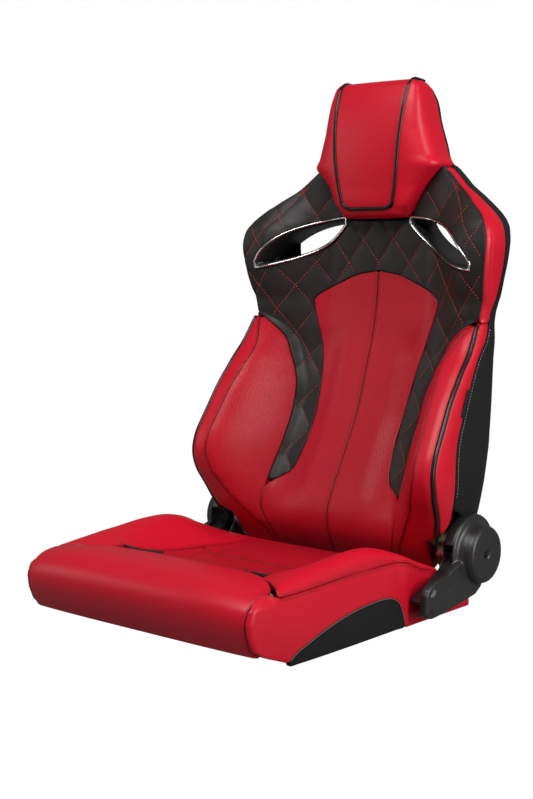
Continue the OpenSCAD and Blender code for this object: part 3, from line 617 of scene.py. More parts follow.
def quilt_relief(x, z):
    """Pillows between two families of straight stitch lines."""
    height = np.ones_like(np.asarray(x, float))
    for lean in (DIAMOND_SLOPE, -DIAMOND_SLOPE):
        cycle = (z - DIAMOND_START - lean * x) / DIAMOND_RISE
        away = np.abs(cycle - np.round(cycle)) * DIAMOND_RISE / math.hypot(1, lean)
        height = height * (1 - np.exp(-away / 7))
    return 2.2 * height - 1.4


def yoke_side(z):
    return np.where(z < 500, wing_start(z) - SEAM_GAP, half_width(z) - 4)


outer_side = (run(yoke_side, 190, 494) + run(yoke_side, 506, 779, 8))
yoke_left = ([(132.0, 196.0)] + outer_side + run(lambda z: yoke_neck(z) + 0.6, 779, 683.5))
yoke_arch = run(lambda z: insert_edge(z) + SEAM_GAP, INSERT_HIGH, 200)
yoke_rim = (yoke_left + [(-x, z) for x, z in yoke_left[::-1]]
            + [(-x, z) for x, z in yoke_arch[::-1]] + yoke_arch)
slots = [slot_loop(5.0), [(-x, z) for x, z in slot_loop(5.0)]]
yoke = sewn_panel([yoke_rim] + slots, back_front, (0, 16, 0), cell=3.4, edge=2.4, sink=2.2,
                  relief=quilt_relief)
finish_piece(yoke, "quilted_back_yoke", black_leather, "backrest",
             ["quilted_yoke"])

rows = bmesh.new()
yoke_rims = [np.array(r, float) for r in [yoke_rim] + slots]
for lean in (DIAMOND_SLOPE, -DIAMOND_SLOPE):
    for step in range(-9, 9):
        x = np.arange(-284.0, 284.5, 4.0)
        line = np.stack([x, DIAMOND_START + DIAMOND_RISE * step + lean * x], -1)
        clear = rim_distance(line, yoke_rims)[0] > 5.5
        edges = np.flatnonzero(np.diff(np.concatenate([[0], clear.astype(int), [0]])))
        for first, last in zip(edges[::2], edges[1::2]):
            if last - first > 3:
                stitch_row(rows, back_front, line[first:last], relief=quilt_relief, lift=0.55,
                           width=1.25, length=4.4)
finish_piece(rows, "quilting_stitches", red_thread, "backrest")

# ---- side wings of the backrest ----
# Punched red leather on the inner face, plain leather wrapped over the front, sewn along the ridge
# with black thread and edged with black piping.
WING_LOW = 58.0
WING_HIGH = 497.0


def wing_relief(x, z):
    """A shallow press beside the ridge seam, where its thread runs."""
    return -0.8 * np.exp(-((x - wing_ridge(z) - 4.0) / 1.8) ** 2)


def ridge(z):
    return np.minimum(wing_ridge(z), half_width(z) - 9)


def wrap_edge(z):
    """The wing's outer edge, which draws in at its foot to clear the lock."""
    return np.minimum(half_width(z) - 5.5, 221 + 70 * ramp(z, 122, 150))


face_rim = (run(lambda z: ridge(z) - SEAM_GAP, WING_LOW, WING_HIGH)
            + run(lambda z: wing_start(z) + SEAM_GAP, WING_HIGH, WING_LOW))
wrap_rim = (run(wrap_edge, WING_LOW, WING_HIGH)
            + run(lambda z: ridge(z) + SEAM_GAP, WING_HIGH, WING_LOW))
for side in ("left", "right"):
    face = sewn_panel([face_rim], back_front, (0, 18, 0), cell=3.2, edge=2.2, sink=2.0,
                      start=(230, 300))
    wrap = sewn_panel([wrap_rim], back_front, (0, 18, 0), cell=2.8, edge=2.0, sink=1.8,
                      relief=wing_relief)
    stitches = bmesh.new()
    stitch_row(stitches, back_front, [(ridge(z) + 4.0, z) for z in np.linspace(116, 486, 70)],
               relief=wing_relief)
    if side == "right":
        face, wrap, stitches = flip(face), flip(wrap), flip(stitches)
    finish_piece(face, "wing_face_" + side, red_punched, "backrest",
                 ["wing_" + side])
    finish_piece(wrap, "wing_wrap_" + side, red_leather, "backrest")
    finish_piece(stitches, "wing_stitches_" + side, black_thread, "backrest")

# ---- piping of the wings ----
# A cord covered in glossy black coated cloth, sewn into the seam between each wing and its side.
PIPING_RADIUS = 3.3
piping_cover = leather(
    "glossy_black_piping", (0.012, 0.011, 0.011, 1), (0.009, 0.008, 0.008, 1),
    (0.006, 0.006, 0.006, 1), 0.24, pebbles=1800.0, bump=0.00005)


def covered_cord(points, name, radius, material, body, replaced=(), closed=False):
    """A round cord along points in millimetres, as a mesh of its own."""
    line = bpy.data.curves.new(name, "CURVE")
    line.dimensions = "3D"
    line.bevel_depth = radius * MM
    line.bevel_resolution = 3
    line.use_fill_caps = not closed
    spline = line.splines.new("POLY")
    spline.points.add(len(points) - 1)
    for knot, at in zip(spline.points, points):
        knot.co = (*(Vector(at) * MM), 1)
    spline.use_cyclic_u = closed
    holder = bpy.data.objects.new(name, line)
    bm = bmesh.new()
    bm.from_mesh(holder.to_mesh())
    bpy.data.objects.remove(holder)
    bmesh.ops.remove_doubles(bm, verts=bm.verts, dist=1e-6)
    bmesh.ops.recalc_face_normals(bm, faces=bm.faces)
    return finish_piece(bm, name, material, body, replaced)


for side, turn in (("left", 1), ("right", -1)):
    edge = []
    for z in np.linspace(110, 497, 90):
        x, y, _ = back_front(half_width(z) - PIPING_RADIUS + 0.2, z)
        edge.append((turn * x, y + 1.6, z))
    covered_cord(edge, "wing_piping_cord_" + side, PIPING_RADIUS, piping_cover, "backrest",
                 ["wing_piping_" + side])

# ---- sides of the backrest ----
# A plain red panel down each side of the shell, sewn to the piping in front and to the rear cover
# behind, and a separate one over the shoulder with a row of black thread along its rolled front rim.
SHOULDER_SEAM = 500.0
cover_edge = curve([(60, 182), (100, 176), (165, 172), (241, 167), (297, 175), (346, 200),
                    (401, 230), (440, 255), (473, 284), (520, 300), (700, 318), (782, 345),
                    (800, 360), (860, 362), (912, 354), (930, 344)])


def side_front(z):
    return back_front(half_width(z) - PIPING_RADIUS, z)[..., 1] + 5.0


def side_rear(z):
    return np.maximum(cover_edge(z) - 1.0, side_front(z) + 5)


def back_flank(y, z):
    """The side of the shell, from the distance behind the origin and the height."""
    y, z = np.broadcast_arrays(np.asarray(y, float), np.asarray(z, float))
    front, rear = side_front(z), side_rear(z)
    across = np.clip((y - front) / (rear - front), 0, 1)
    rolled = np.clip((front + 7 - y) / 12, 0, 1) ** 2 * ramp(z, 490, 515) * 8
    return np.stack([half_width(z) + 4 * np.sin(np.pi * across) - rolled, y, z], -1)


def shoulder_press(y, z):
    """The row of thread behind the rolled rim sinks into the foam."""
    return -1.0 * np.exp(-((y - side_front(z) - 8.0) / 1.6) ** 2)


low_rim = ([(float(side_front(z)), float(z)) for z in np.linspace(138, SHOULDER_SEAM - 0.3, 60)]
           + [(float(side_rear(z)), float(z)) for z in np.linspace(SHOULDER_SEAM - 0.3, 170, 54)]
           + [(220 - 79 * math.cos(a), 104 + 79 * math.sin(a)) for a in np.linspace(0.92, 0.45, 8)])
high_rim = ([(float(side_front(z)) - 4, float(z)) for z in np.linspace(SHOULDER_SEAM + 0.3, 778, 44)]
            + [(float(side_rear(z)), float(z)) for z in np.linspace(778, SHOULDER_SEAM + 0.3, 44)])
for side in ("left", "right"):
    flank = sewn_panel([low_rim], back_flank, (-8, 0, 0), cell=3.4, edge=2.6, sink=2.4)
    shoulder = sewn_panel([high_rim], back_flank, (-8, 0, 0), cell=3.0, edge=3.2, sink=3.0,
                          relief=shoulder_press)
    thread_row = bmesh.new()
    stitch_row(thread_row, back_flank, [(side_front(z) + 8.0, z) for z in np.linspace(506, 770, 60)],
               relief=shoulder_press)
    if side == "right":
        flank, shoulder, thread_row = flip(flank), flip(shoulder), flip(thread_row)
    finish_piece(flank, "back_flank_" + side, red_leather, "backrest",
                 ["back_side_" + side])
    finish_piece(shoulder, "shoulder_panel_" + side, red_leather, "backrest")
    finish_piece(thread_row, "shoulder_stitches_" + side, black_thread, "backrest")

# a folded tab of black ribbon, caught in the seam of the left side
TAB_HEIGHT = 52.0
TAB_WIDTH = 9.0
TAB_LEAN = -29.0
ribbon = bmesh.new()
bmesh.ops.create_grid(ribbon, x_segments=3, y_segments=12, size=0.5)
bmesh.ops.scale(ribbon, vec=(TAB_WIDTH, TAB_HEIGHT, 1), verts=ribbon.verts)
for vert in ribbon.verts:
    vert.co.z = 1.6 * math.cos(vert.co.y / TAB_HEIGHT * math.pi) + 0.5 * math.cos(vert.co.x / TAB_WIDTH * 5)
bmesh.ops.solidify(ribbon, geom=ribbon.faces[:], thickness=1.4)
bmesh.ops.bevel(ribbon, geom=[e for e in ribbon.edges if e.calc_face_angle(0) > 1.0], offset=0.35,
                offset_type="OFFSET", segments=2, profile=0.5, affect="EDGES", material=-1)
bmesh.ops.rotate(ribbon, verts=ribbon.verts, matrix=Matrix.Rotation(math.radians(90), 3, "Y")
                 @ Matrix.Rotation(math.radians(90), 3, "Z"))
bmesh.ops.rotate(ribbon, verts=ribbon.verts, matrix=Matrix.Rotation(math.radians(TAB_LEAN), 3, "X"))
bmesh.ops.translate(ribbon, verts=ribbon.verts, vec=(float(half_width(366)) + 5.4, 198, 366))
bmesh.ops.scale(ribbon, vec=(MM, MM, MM), verts=ribbon.verts)
bmesh.ops.recalc_face_normals(ribbon, faces=ribbon.faces)
finish_piece(ribbon, "side_seam_tab", black_cloth, "backrest", ["side_tab"])

# ---- rear cover ----
# One skin of black trim cloth over the back of the shell and of the headrest. It is wrapped round the
# sides, where it is sewn to the side panels with pale thread, and it is cut out round the recliners.
rear_corner = curve([(60, 258), (100, 264), (160, 270), (221, 272), (292, 290), (388, 309),
                     (482, 319), (541, 320), (650, 330), (700, 345), (782, 370), (800, 376),
                     (860, 376), (912, 368), (940, 346)])
rear_crown = curve([(60, 20), (160, 32), (300, 48), (480, 62), (650, 60), (782, 30), (810, 18),
                    (860, 16), (940, 12)])
head_half_width = curve([(683, 66), (698, 78), (712, 85), (726, 92), (740, 101), (754, 112),
                         (768, 125), (782, 138), (798, 129), (815, 123), (860, 110), (912, 99),
                         (930, 92), (940, 80)])
COVER_TOP = 929.0
COVER_REACH = 420.0


def along(stations, reach):
    """A smooth line through stations, at a share of its length from the first one to the last."""
    stations = np.stack(np.broadcast_arrays(*stations), 0)
    gaps = np.linalg.norm(np.diff(stations, axis=0), axis=-1)
    total = np.concatenate([np.zeros((1,) + gaps.shape[1:]), np.cumsum(gaps, 0)])
    reach = np.asarray(reach) * total[-1]
    i = np.clip((reach >= total).sum(0) - 1, 0, len(gaps) - 1)
    lean = np.empty_like(stations)
    lean[1:-1] = (stations[2:] - stations[:-2]) / (total[2:] - total[:-2])[..., None]
    lean[0] = (stations[1] - stations[0]) / gaps[0][..., None]
    lean[-1] = (stations[-1] - stations[-2]) / gaps[-1][..., None]

    def pick(values, k):
        index = k[(None,) + (slice(None),) * k.ndim + (None,) * (values.ndim - 1 - k.ndim)]
        return np.take_along_axis(values, index, 0)[0]
    h = pick(gaps, i)
    t = (reach - pick(total, i)) / h
    u = np.clip(t, 0, 1)[..., None]
    h = h[..., None]
    point = (pick(stations, i) * (2 * u**3 - 3 * u**2 + 1) + pick(stations, i + 1) * (3 * u**2 - 2 * u**3)
             + h * (pick(lean, i) * (u**3 - 2 * u**2 + u) + pick(lean, i + 1) * (u**3 - u**2)))
    past = (t - u[..., 0])[..., None] * h
    return point + past * np.where(past > 0, pick(lean, i + 1), pick(lean, i))


def back_rear(u, z):
    """The rear skin, from its left front edge at COVER_REACH round to its right front edge."""
    u, z = np.broadcast_arrays(np.asarray(u, float), np.asarray(z, float))
    behind = ramp(z, 774, 790)
    wide = np.where(z < 782, half_width(z), head_half_width(z)) - 7 * behind
    edge, corner, crown = cover_edge(z), rear_corner(z), rear_crown(z)
    edge = np.minimum(edge + (corner - edge) * behind, corner - 8)
    gap = corner - edge

    def rear(share):
        return np.stack([share * wide, corner + crown * (1 - share**2)], -1)
    left = [np.stack([wide, edge], -1), np.stack([wide + 1, edge + 0.5 * gap], -1),
            np.stack([wide - 0.03 * gap, edge + 0.85 * gap], -1),
            np.stack([wide - 12, corner + 0.01 * wide], -1), rear(0.8), rear(0.4), rear(0.0)]
    right = [s * np.array([-1, 1]) for s in left[-2::-1]]
    flat = along(left[::1] + right, (COVER_REACH - u) / (2 * COVER_REACH))
    return np.stack([flat[..., 0], flat[..., 1], z], -1)


def rear_side(u, z):
    """The rear skin with its rows and columns turned so that its normals point out."""
    return back_rear(-np.asarray(u, float), z)


skin_left = ([(-0.1, 88.0), (300.0, 88.0), (346.0, 150.0), (COVER_REACH - 1, 186.0)]
             + [(COVER_REACH - 1, float(z)) for z in np.arange(200, 776, 8)]
             + [(COVER_REACH - 1, 784.0)]
             + [(COVER_REACH - 1, float(z)) for z in np.arange(790, COVER_TOP, 8)]
             + [(-0.1, COVER_TOP)])
skin_rim = skin_left + [(-u, z) for u, z in skin_left[-2:0:-1]]


def reach_of(x, z):
    """Where on the skin a point of the rear face lies."""
    u = np.linspace(-300, 300, 241)
    return float(np.interp(x, back_rear(u, z)[..., 0], u))


SLOT_SPLAY = 4.0
rear_slot = [(reach_of(x + SLOT_SPLAY, z), z) for x, z in slot_loop(6.6)]
skin = sewn_panel([skin_rim, rear_slot, [(-u, z) for u, z in rear_slot]], rear_side, 7.0, cell=5.0,
                  edge=3.0, sink=2.0)
finish_piece(skin, "rear_cover_skin", black_cloth, "backrest", ["rear_cover"])
for side, turn in (("left", -1), ("right", 1)):
    pale_row = bmesh.new()
    stitch_row(pale_row, rear_side, [(turn * (COVER_REACH - 7), z) for z in np.linspace(205, 490, 70)],
               width=0.9, lift=0.15)
    finish_piece(pale_row, "rear_cover_stitches_" + side, pale_thread, "backrest")

# ---- headrest ----
# A red surround of two cheeks and a lower strip, sewn to an insert of the same leather that runs over
# the top edge; glossy black piping lies in the seam between them.
head_insert_half = curve([(684, 47), (700, 48), (706, 54), (725, 60), (765, 67), (830, 73), (915, 77),
                          (940, 78)])
head_front = curve([(683, 300), (692, 288), (705, 283), (745, 278), (788, 275), (830, 276),
                    (873, 282), (915, 295), (934, 306), (940, 314)])
head_rear = curve([(683, 350), (782, 366), (860, 364), (912, 356), (940, 340)])
HEAD_LOW = 684.0
HEAD_TOP = 937.0
HEAD_REACH = 170.0


def head_face(u, z):
    """Front and side of the headrest, from the middle at 0 round to the rear seam at HEAD_REACH."""
    u, z = np.broadcast_arrays(np.asarray(u, float), np.asarray(z, float))
    wide, sewn = head_half_width(z), head_insert_half(z)
    front, rear = head_front(z) - 2, head_rear(z)
    spare = wide - sewn
    soft = np.clip(spare / 40, 0.15, 1)
    stations = [(0 * z, front), (0.5 * sewn, front + 0.3), (sewn, front + 2),
                (sewn + 0.45 * spare, front + 7 * soft),
                (wide - 0.16 * spare, front + 20 * soft), (wide, front + 12 + 26 * soft),
                (wide + 0.5, 0.45 * front + 0.55 * rear + 6), (wide - 2, rear)]
    flat = along([np.stack(np.broadcast_arrays(*st), -1) for st in stations], np.abs(u) / HEAD_REACH)
    return np.stack([flat[..., 0] * np.where(u < 0, -1, 1), flat[..., 1], z], -1)


def head_reach_of(x, z):
    """Where round the headrest the width x is reached."""
    u = np.linspace(0, 0.75 * HEAD_REACH, 120)
    return float(np.interp(x, head_face(u, z)[..., 0], u))


def head_seam(z):
    return head_reach_of(head_insert_half(z), z)


def head_relief(u, z):
    """The cheeks are pressed down beside the piping and swell between it and the side."""
    return 0.8 * np.sin(np.pi * np.clip((np.abs(u) - 78) / 60, 0, 1)) * ramp(z, 700, 740)


cheek_outer = [(HEAD_REACH - 1, float(z)) for z in np.linspace(HEAD_LOW + 4, HEAD_TOP - 6, 42)]
cheek_seam = [(head_seam(z) + 0.4, float(z)) for z in np.linspace(HEAD_TOP, 706, 44)]
strip = [(40.0, 702.5), (20.0, 702.0), (0.0, 702.0)]
surround_half = ([(0.0, HEAD_LOW), (60.0, HEAD_LOW)] + cheek_outer + [(HEAD_REACH - 8, HEAD_TOP)]
                 + cheek_seam + strip)
surround_rim = surround_half + [(-u, z) for u, z in surround_half[-2:0:-1]]
surround = sewn_panel([surround_rim], head_face, 9.0, cell=3.2, edge=2.6, sink=2.4, relief=head_relief)
finish_piece(surround, "headrest_cheeks", red_leather, "backrest",
             ["headrest_surround"])


def head_pad(x, z):
    """Front and top of the insert: it turns back over the top edge of the headrest."""
    x, z = np.broadcast_arrays(np.asarray(x, float), np.asarray(z, float))
    over = np.clip(z - 926, 0, None)
    turned = np.clip(over / 16, 0, math.pi / 2)
    rest = np.clip(over - 16 * math.pi / 2, 0, None)
    y = head_front(np.minimum(z, 926)) - 3 + 4 * (x / 75) ** 2 + 16 * (1 - np.cos(turned)) + rest
    y = y + np.where(over > 0, 6 * np.sin(turned), 0)
    return np.stack([x, y, np.minimum(z, 926) + 13 * np.sin(turned) - 0.10 * rest], -1)


pad_side = [(float(head_insert_half(min(z, 934))) - 1.5, float(z)) for z in np.linspace(712, 983, 62)]
pad_half = ([(0.0, 703.0), (36.0, 703.4), (46.0, 705.0), (52.0, 708.5)] + pad_side
            + [(50.0, 989.0), (25.0, 993.0), (0.0, 994.0)])
pad_rim = pad_half + [(-x, z) for x, z in pad_half[-2:0:-1]]
pad = sewn_panel([pad_rim], head_pad, 9.0, cell=4.0, edge=3.0, sink=2.6)
finish_piece(pad, "headrest_pad", red_leather, "backrest", ["headrest_insert"])

seam_line = [(x, 704.0) for x in np.linspace(0, 38, 6)] + [(45.0, 705.6), (51.0, 709.0)]
seam_line += [(float(head_insert_half(min(z, 934))), float(z)) for z in np.linspace(714, 978, 69)]
cord_line = []
for x, z in seam_line:
    point = head_pad(x, z)
    lift = facing(head_pad, np.array([x]), np.array([z]))[0]
    cord_line.append(tuple(point + lift * 0.3))
cord_line = [(-x, y, z) for x, y, z in cord_line[:0:-1]] + cord_line
covered_cord(cord_line, "headrest_piping_cord", 3.2, piping_cover, "backrest",
             ["headrest_piping"])

# ---- foam pads ----
# The moulded foam inside the cushion, the backrest and the headrest; the leather is pulled over it.
foam_skin = bpy.data.materials.new("moulded_foam")
foam_skin.use_nodes = True
cells = foam_skin.node_tree
foam_place = node(cells, "TexCoord")
foam_cells = node(cells, "TexVoronoi", links=[("Vector", foam_place.outputs["Object"]), ("Scale", 700.0)])
foam_tone = node(cells, "TexNoise", links=[("Vector", foam_place.outputs["Object"]), ("Scale", 9.0)])
cells.links.new(mix(cells, foam_tone.outputs[0], (0.60, 0.53, 0.31, 1), (0.50, 0.43, 0.24, 1)),
                cells.nodes["Principled BSDF"].inputs["Base Color"])
foam_relief = node(cells, "Bump", links=[("Height", foam_cells.outputs["Distance"]), ("Distance", 0.0005)])
cells.links.new(foam_relief.outputs[0], cells.nodes["Principled BSDF"].inputs["Normal"])
cells.nodes["Principled BSDF"].inputs["Roughness"].default_value = 0.95


def merged_copy(node_name):
    """A CAD node's mesh with its loose triangles merged, in a bmesh."""
    bm = bmesh.new()
    bm.from_mesh(frame["nodes"][node_name].data)
    bmesh.ops.remove_doubles(bm, verts=bm.verts, dist=1e-6)
    return bm


def remeshed(bm, name, voxel, rounds, factor=0.5):
    """The bmesh with evenly sized faces and softened edges, as a mesh object's own geometry."""
    mesh = bpy.data.meshes.new(name)
    bm.to_mesh(mesh)
    bm.free()
    holder = bpy.data.objects.new(name + "_raw", mesh)
    bpy.context.scene.collection.objects.link(holder)
    even = holder.modifiers.new("even", "REMESH")
    even.mode = "VOXEL"
    even.voxel_size = voxel
    soft = holder.modifiers.new("soft", "SMOOTH")
    soft.factor = factor
    soft.iterations = rounds
    result = bmesh.new()
    result.from_object(holder, bpy.context.evaluated_depsgraph_get())
    bpy.data.objects.remove(holder)
    bmesh.ops.recalc_face_normals(result, faces=result.faces)
    return result


for name, body in (("cushion_foam", "base"), ("back_foam", "backrest"), ("headrest_foam", "backrest")):
    pad = remeshed(merged_copy(name), name, 0.006, 4)
    finish_piece(pad, "moulded_" + name, foam_skin, body, [name])

# ---- seat cushion: insert and quilted gussets ----
# A flat punched insert in two pieces with a cross seam, as wide as the trough between the bolsters, and
# a small gusset of quilted black leather at each of its front corners.
CUSHION_HALF = 250.0
CROSS_SEAM = -12.0
seat_middle = curve([(-190, 120), (-165, 108), (-130, 97), (-80, 89), (0, 84), (100, 83), (150, 82)])
bolster_top = curve([(-312, 112), (-290, 122), (-255, 128), (-200, 136), (-140, 141), (-73, 146),
                     (-18, 144), (20, 135), (71, 115), (124, 94), (180, 76), (250, 66)])
bolster_inner = curve([(-312, 205), (-250, 190), (-200, 172), (-150, 160), (-100, 153), (150, 150)])
seam_drop = curve([(-312, 4), (-290, 9), (-250, 17), (-200, 24), (-140, 27), (-7, 27), (32, 17),
                   (61, 11), (94, 12), (132, 6), (250, 6)])


gusset_edge = curve([(-190, 104), (-160, 106), (-140, 117), (-125, 136), (-112, 150), (-104, 162)])
GUSSET_END = -108.0


def insert_reach(y):
    """Half the width of the insert: between the gussets in front, between the bolsters behind them."""
    return np.minimum(gusset_edge(y), bolster_inner(y)) - 0.3


def widest(y):
    """Half the width of the cushion: it steps out over the recliner's bracket."""
    return CUSHION_HALF + 4.6 * ramp(y, 30, 60)


def shoulder_radius(y):
    return np.clip(seam_drop(y), 8, 24)


def cushion_top(u, y):
    """The top of the cushion from the middle outwards, then down over the bolster's outer edge."""
    u, y = np.broadcast_arrays(np.asarray(u, float), np.asarray(y, float))
    radius = shoulder_radius(y)
    start = widest(y) - radius
    off = np.abs(u)
    x = np.minimum(off, start)
    inner, middle = bolster_inner(y), seat_middle(y)
    top = middle + (bolster_top(y) - middle) * ramp(x, inner - 26, start)
    turn = np.clip((off - start) / radius, 0, math.pi / 2)
    down = np.clip(off - start - radius * math.pi / 2, 0, None)
    return np.stack([np.where(u < 0, -1, 1) * (x + radius * np.sin(turn)), y,
                     top - radius * (1 - np.cos(turn)) - down], -1)


def seam_reach(y):
    radius = shoulder_radius(y)
    return widest(y) - radius + radius * math.pi / 2 + np.clip(seam_drop(y) - radius, 0, None)


def twin_press(x, y):
    """Both rows of the cross seam press the insert down."""
    return -0.9 * np.exp(-((np.abs(y - CROSS_SEAM) - SEAM_TWIN) / 1.6) ** 2)


for name, front, rear, replaced in (("front", -189, CROSS_SEAM - 0.25, ["cushion_insert"]),
                                    ("rear", CROSS_SEAM + 0.25, 150, ())):
    side_edge = [(float(insert_reach(y)), float(y)) for y in np.linspace(front, rear, 40)]
    piece = sewn_panel([side_edge + [(-x, y) for x, y in side_edge[::-1]]], cushion_top,
                       (0, 0, -16), cell=4.0, edge=2.0, sink=1.8, relief=twin_press)
    finish_piece(piece, "cushion_insert_" + name, red_punched, "base",
                 replaced)
rows = bmesh.new()
for shift in (-SEAM_TWIN, SEAM_TWIN):
    stitch_row(rows, cushion_top, [(x, CROSS_SEAM + shift) for x in np.linspace(-147, 147, 52)],
               relief=twin_press)
finish_piece(rows, "cushion_insert_stitches", black_thread, "base")


def gusset_relief(x, y):
    """Pillows between slanted quilting lines."""
    across = np.abs((y - x) / 34 - np.round((y - x) / 34)) * 34
    return 1.6 * (1 - np.exp(-across / 4)) - 0.8


gusset_rim = ([(float(bolster_inner(y)) - 0.3, float(y)) for y in np.linspace(-189, GUSSET_END, 20)]
              + [(float(gusset_edge(y)) + 0.3, float(y)) for y in np.linspace(GUSSET_END, -189, 24)])
for side in ("left", "right"):
    piece = sewn_panel([gusset_rim], cushion_top, (0, 0, -14), cell=3.0, edge=1.8, sink=1.6,
                       relief=gusset_relief)
    if side == "right":
        piece = flip(piece)
    finish_piece(piece, "cushion_quilting_" + side, black_leather, "base",
                 ["cushion_quilt_" + side])

# ---- front roll of the cushion ----
# Smooth red leather pulled round the front edge of the foam; it runs back between the bolsters in the
# middle and ends in an upright seam near each side.
ROLL_HALF = 241.0
roll_profile = np.array([(-312, 27), (-331, 33), (-341, 48), (-350, 70), (-353, 92), (-346, 112),
                         (-325, 128), (-295, 135), (-258, 134), (-222, 128), (-192, 119), (-170, 110)], float)
roll_lengths = np.concatenate([[0], np.cumsum(np.linalg.norm(np.diff(roll_profile, axis=0), axis=1))])
ROLL_LENGTH = float(roll_lengths[-1])


def roll(x, v):
    """The roll, from its lower front edge at 0 up and over to the rear, at a distance x off the middle."""
    x, v = np.broadcast_arrays(np.asarray(x, float), np.asarray(v, float))
    stations = [np.broadcast_to(p, x.shape + (2,)) for p in roll_profile]
    flat = along(stations, v / ROLL_LENGTH)
    ends = 1 - 0.08 * (np.abs(x) / ROLL_HALF) ** 4
    return np.stack([x, -200 + (flat[..., 0] + 200) * ends, flat[..., 1] * ends], -1)


def roll_rear(x):
    """Where the roll's rear seam runs: forward of the bolsters at its ends."""
    y = -191 - 92 * (abs(x) / 245) ** 3
    top = roll(np.full(80, x), np.linspace(0.55 * ROLL_LENGTH, ROLL_LENGTH, 80))
    return float(np.interp(y, top[:, 1], np.linspace(0.55 * ROLL_LENGTH, ROLL_LENGTH, 80)))


roll_xs = np.linspace(-ROLL_HALF, ROLL_HALF, 61)
roll_rim = ([(float(x), 0.0) for x in roll_xs[::10]]
            + [(ROLL_HALF, float(v)) for v in np.linspace(15, roll_rear(ROLL_HALF), 14)]
            + [(float(x), roll_rear(float(x))) for x in roll_xs[-2:0:-1]]
            + [(-ROLL_HALF, float(v)) for v in np.linspace(roll_rear(ROLL_HALF), 15, 14)])
front_roll = sewn_panel([roll_rim], roll, 10.0, cell=4.5, edge=3.6, sink=3.0)
finish_piece(front_roll, "cushion_roll", red_leather, "base", ["cushion_front_roll"])

# ---- side bolsters of the cushion ----
# Plain red leather from the insert over the top and down the outer edge, where a raised seam
# with two rows of black thread joins it to the side.
TWIN_GAP = 5.0


def bolster_relief(u, y):
    """The seam's two needle rows press the leather down."""
    edge = seam_reach(y)
    return -0.9 * np.exp(-((edge - TWIN_GAP - u) / 1.5) ** 2)


def roll_edge(x):
    """How far back the roll's rear seam lies at a distance x off the middle."""
    return -190.6 - 92 * (min(x, 245) / 245) ** 3


ends = np.linspace(0.0, 1.0, 16)
bolster_front = [(float(bolster_inner(-194)) + 0.3 + t * (float(seam_reach(-284)) - 173.0),
                  roll_edge(174 + 72 * t) + 10 * t**6) for t in ends]
bolster_rim = (bolster_front
               + [(float(seam_reach(y)), float(y)) for y in np.linspace(-272, 240, 84)]
               + [(float(bolster_inner(150)) + 0.3, 240.0)]
               + [(float(bolster_inner(y)) + 0.3, float(y)) for y in np.linspace(232, -186, 50)])


def clear_of_lock(bm):
    """Cuts the piece out round the recline axis, where the lower end of the backrest turns."""
    far = Vector((0, pivot[1], pivot[2]))
    for vert in bm.verts:
        away = vert.co - far
        away.x = 0
        if away.length < CLEAR_RADIUS:
            grow = away.normalized() if away.length > 1e-6 else Vector((0, -1, 0))
            vert.co += grow * (CLEAR_RADIUS - away.length)
    return bm


CLEAR_RADIUS = 0.0745
pivot = (0.0, 0.220, 0.104)
for side in ("left", "right"):
    piece = clear_of_lock(sewn_panel([bolster_rim], cushion_top, (0, 0, -14), cell=3.8, edge=2.4,
                                     sink=2.2, relief=bolster_relief))
    rows = bmesh.new()
    stitch_row(rows, cushion_top, [(seam_reach(y) - TWIN_GAP, y) for y in np.linspace(-262, 140, 96)],
               relief=bolster_relief, width=1.1)
    if side == "right":
        piece, rows = flip(piece), flip(rows)
    finish_piece(piece, "cushion_bolster_leather_" + side, red_leather, "base",
                 ["cushion_bolster_" + side])
    finish_piece(rows, "bolster_stitches_" + side, black_thread, "base")

# ---- sides of the cushion ----
# A red side panel from the roll to behind the recliner, stitched twice along its top, and an arched
# patch of black trim cloth below it with a thin pale edge.
CORNER_RADIUS = 10.0
seat_underside = curve([(-352, 60), (-340, 50), (-321, 36), (-272, 15), (-228, 0), (260, 0)])
side_upper = curve([(-352, 100), (-340, 112), (-325, 119), (-300, 122), (-288, 121), (-275, 114),
                    (-262, 110.5), (-250, 111), (-200, 112)])
arch = curve([(-262, -5), (-238, 16), (-200, 32), (-152, 46), (-91, 57), (-40, 61), (0, 60), (22, 54),
              (36, 42), (46, 22), (54, -5)])


def side_top(y):
    return np.where(y < -262, side_upper(y), bolster_top(y) - seam_drop(y))


def front_end(z):
    """Where the end of the roll stands, at each height."""
    return np.interp(z, [20, 30, 44, 64, 85, 103, 116, 124], [-303, -320, -330, -338, -341, -334, -315, -300])


def cushion_flank(y, z):
    """The side of the cushion, from the distance in front of or behind the origin and the height."""
    y, z = np.broadcast_arrays(np.asarray(y, float), np.asarray(z, float))
    low, high = seat_underside(y), side_top(y)
    across = np.clip((z - low) / np.maximum(high - low, 8), 0, 1)
    bulge = 6 * np.sin(np.pi * across) * ramp(y, -350, -280) * (1 - ramp(y, 30, 70))
    corner = front_end(z) + CORNER_RADIUS
    turn = np.clip((corner - y) / CORNER_RADIUS, 0, math.pi / 2)
    curl = 9 * ramp(z, 102, 122) * (1 - ramp(y, -292, -268))
    wide = widest(y) + bulge - curl - CORNER_RADIUS * (1 - np.cos(turn))
    return np.stack([wide, np.maximum(y, corner - CORNER_RADIUS * np.sin(turn)), z], -1)


def flank_relief(y, z):
    """The needle row below the seam."""
    return -0.9 * np.exp(-((side_top(y) - TWIN_GAP - z) / 1.5) ** 2) * ramp(y, -285, -265)


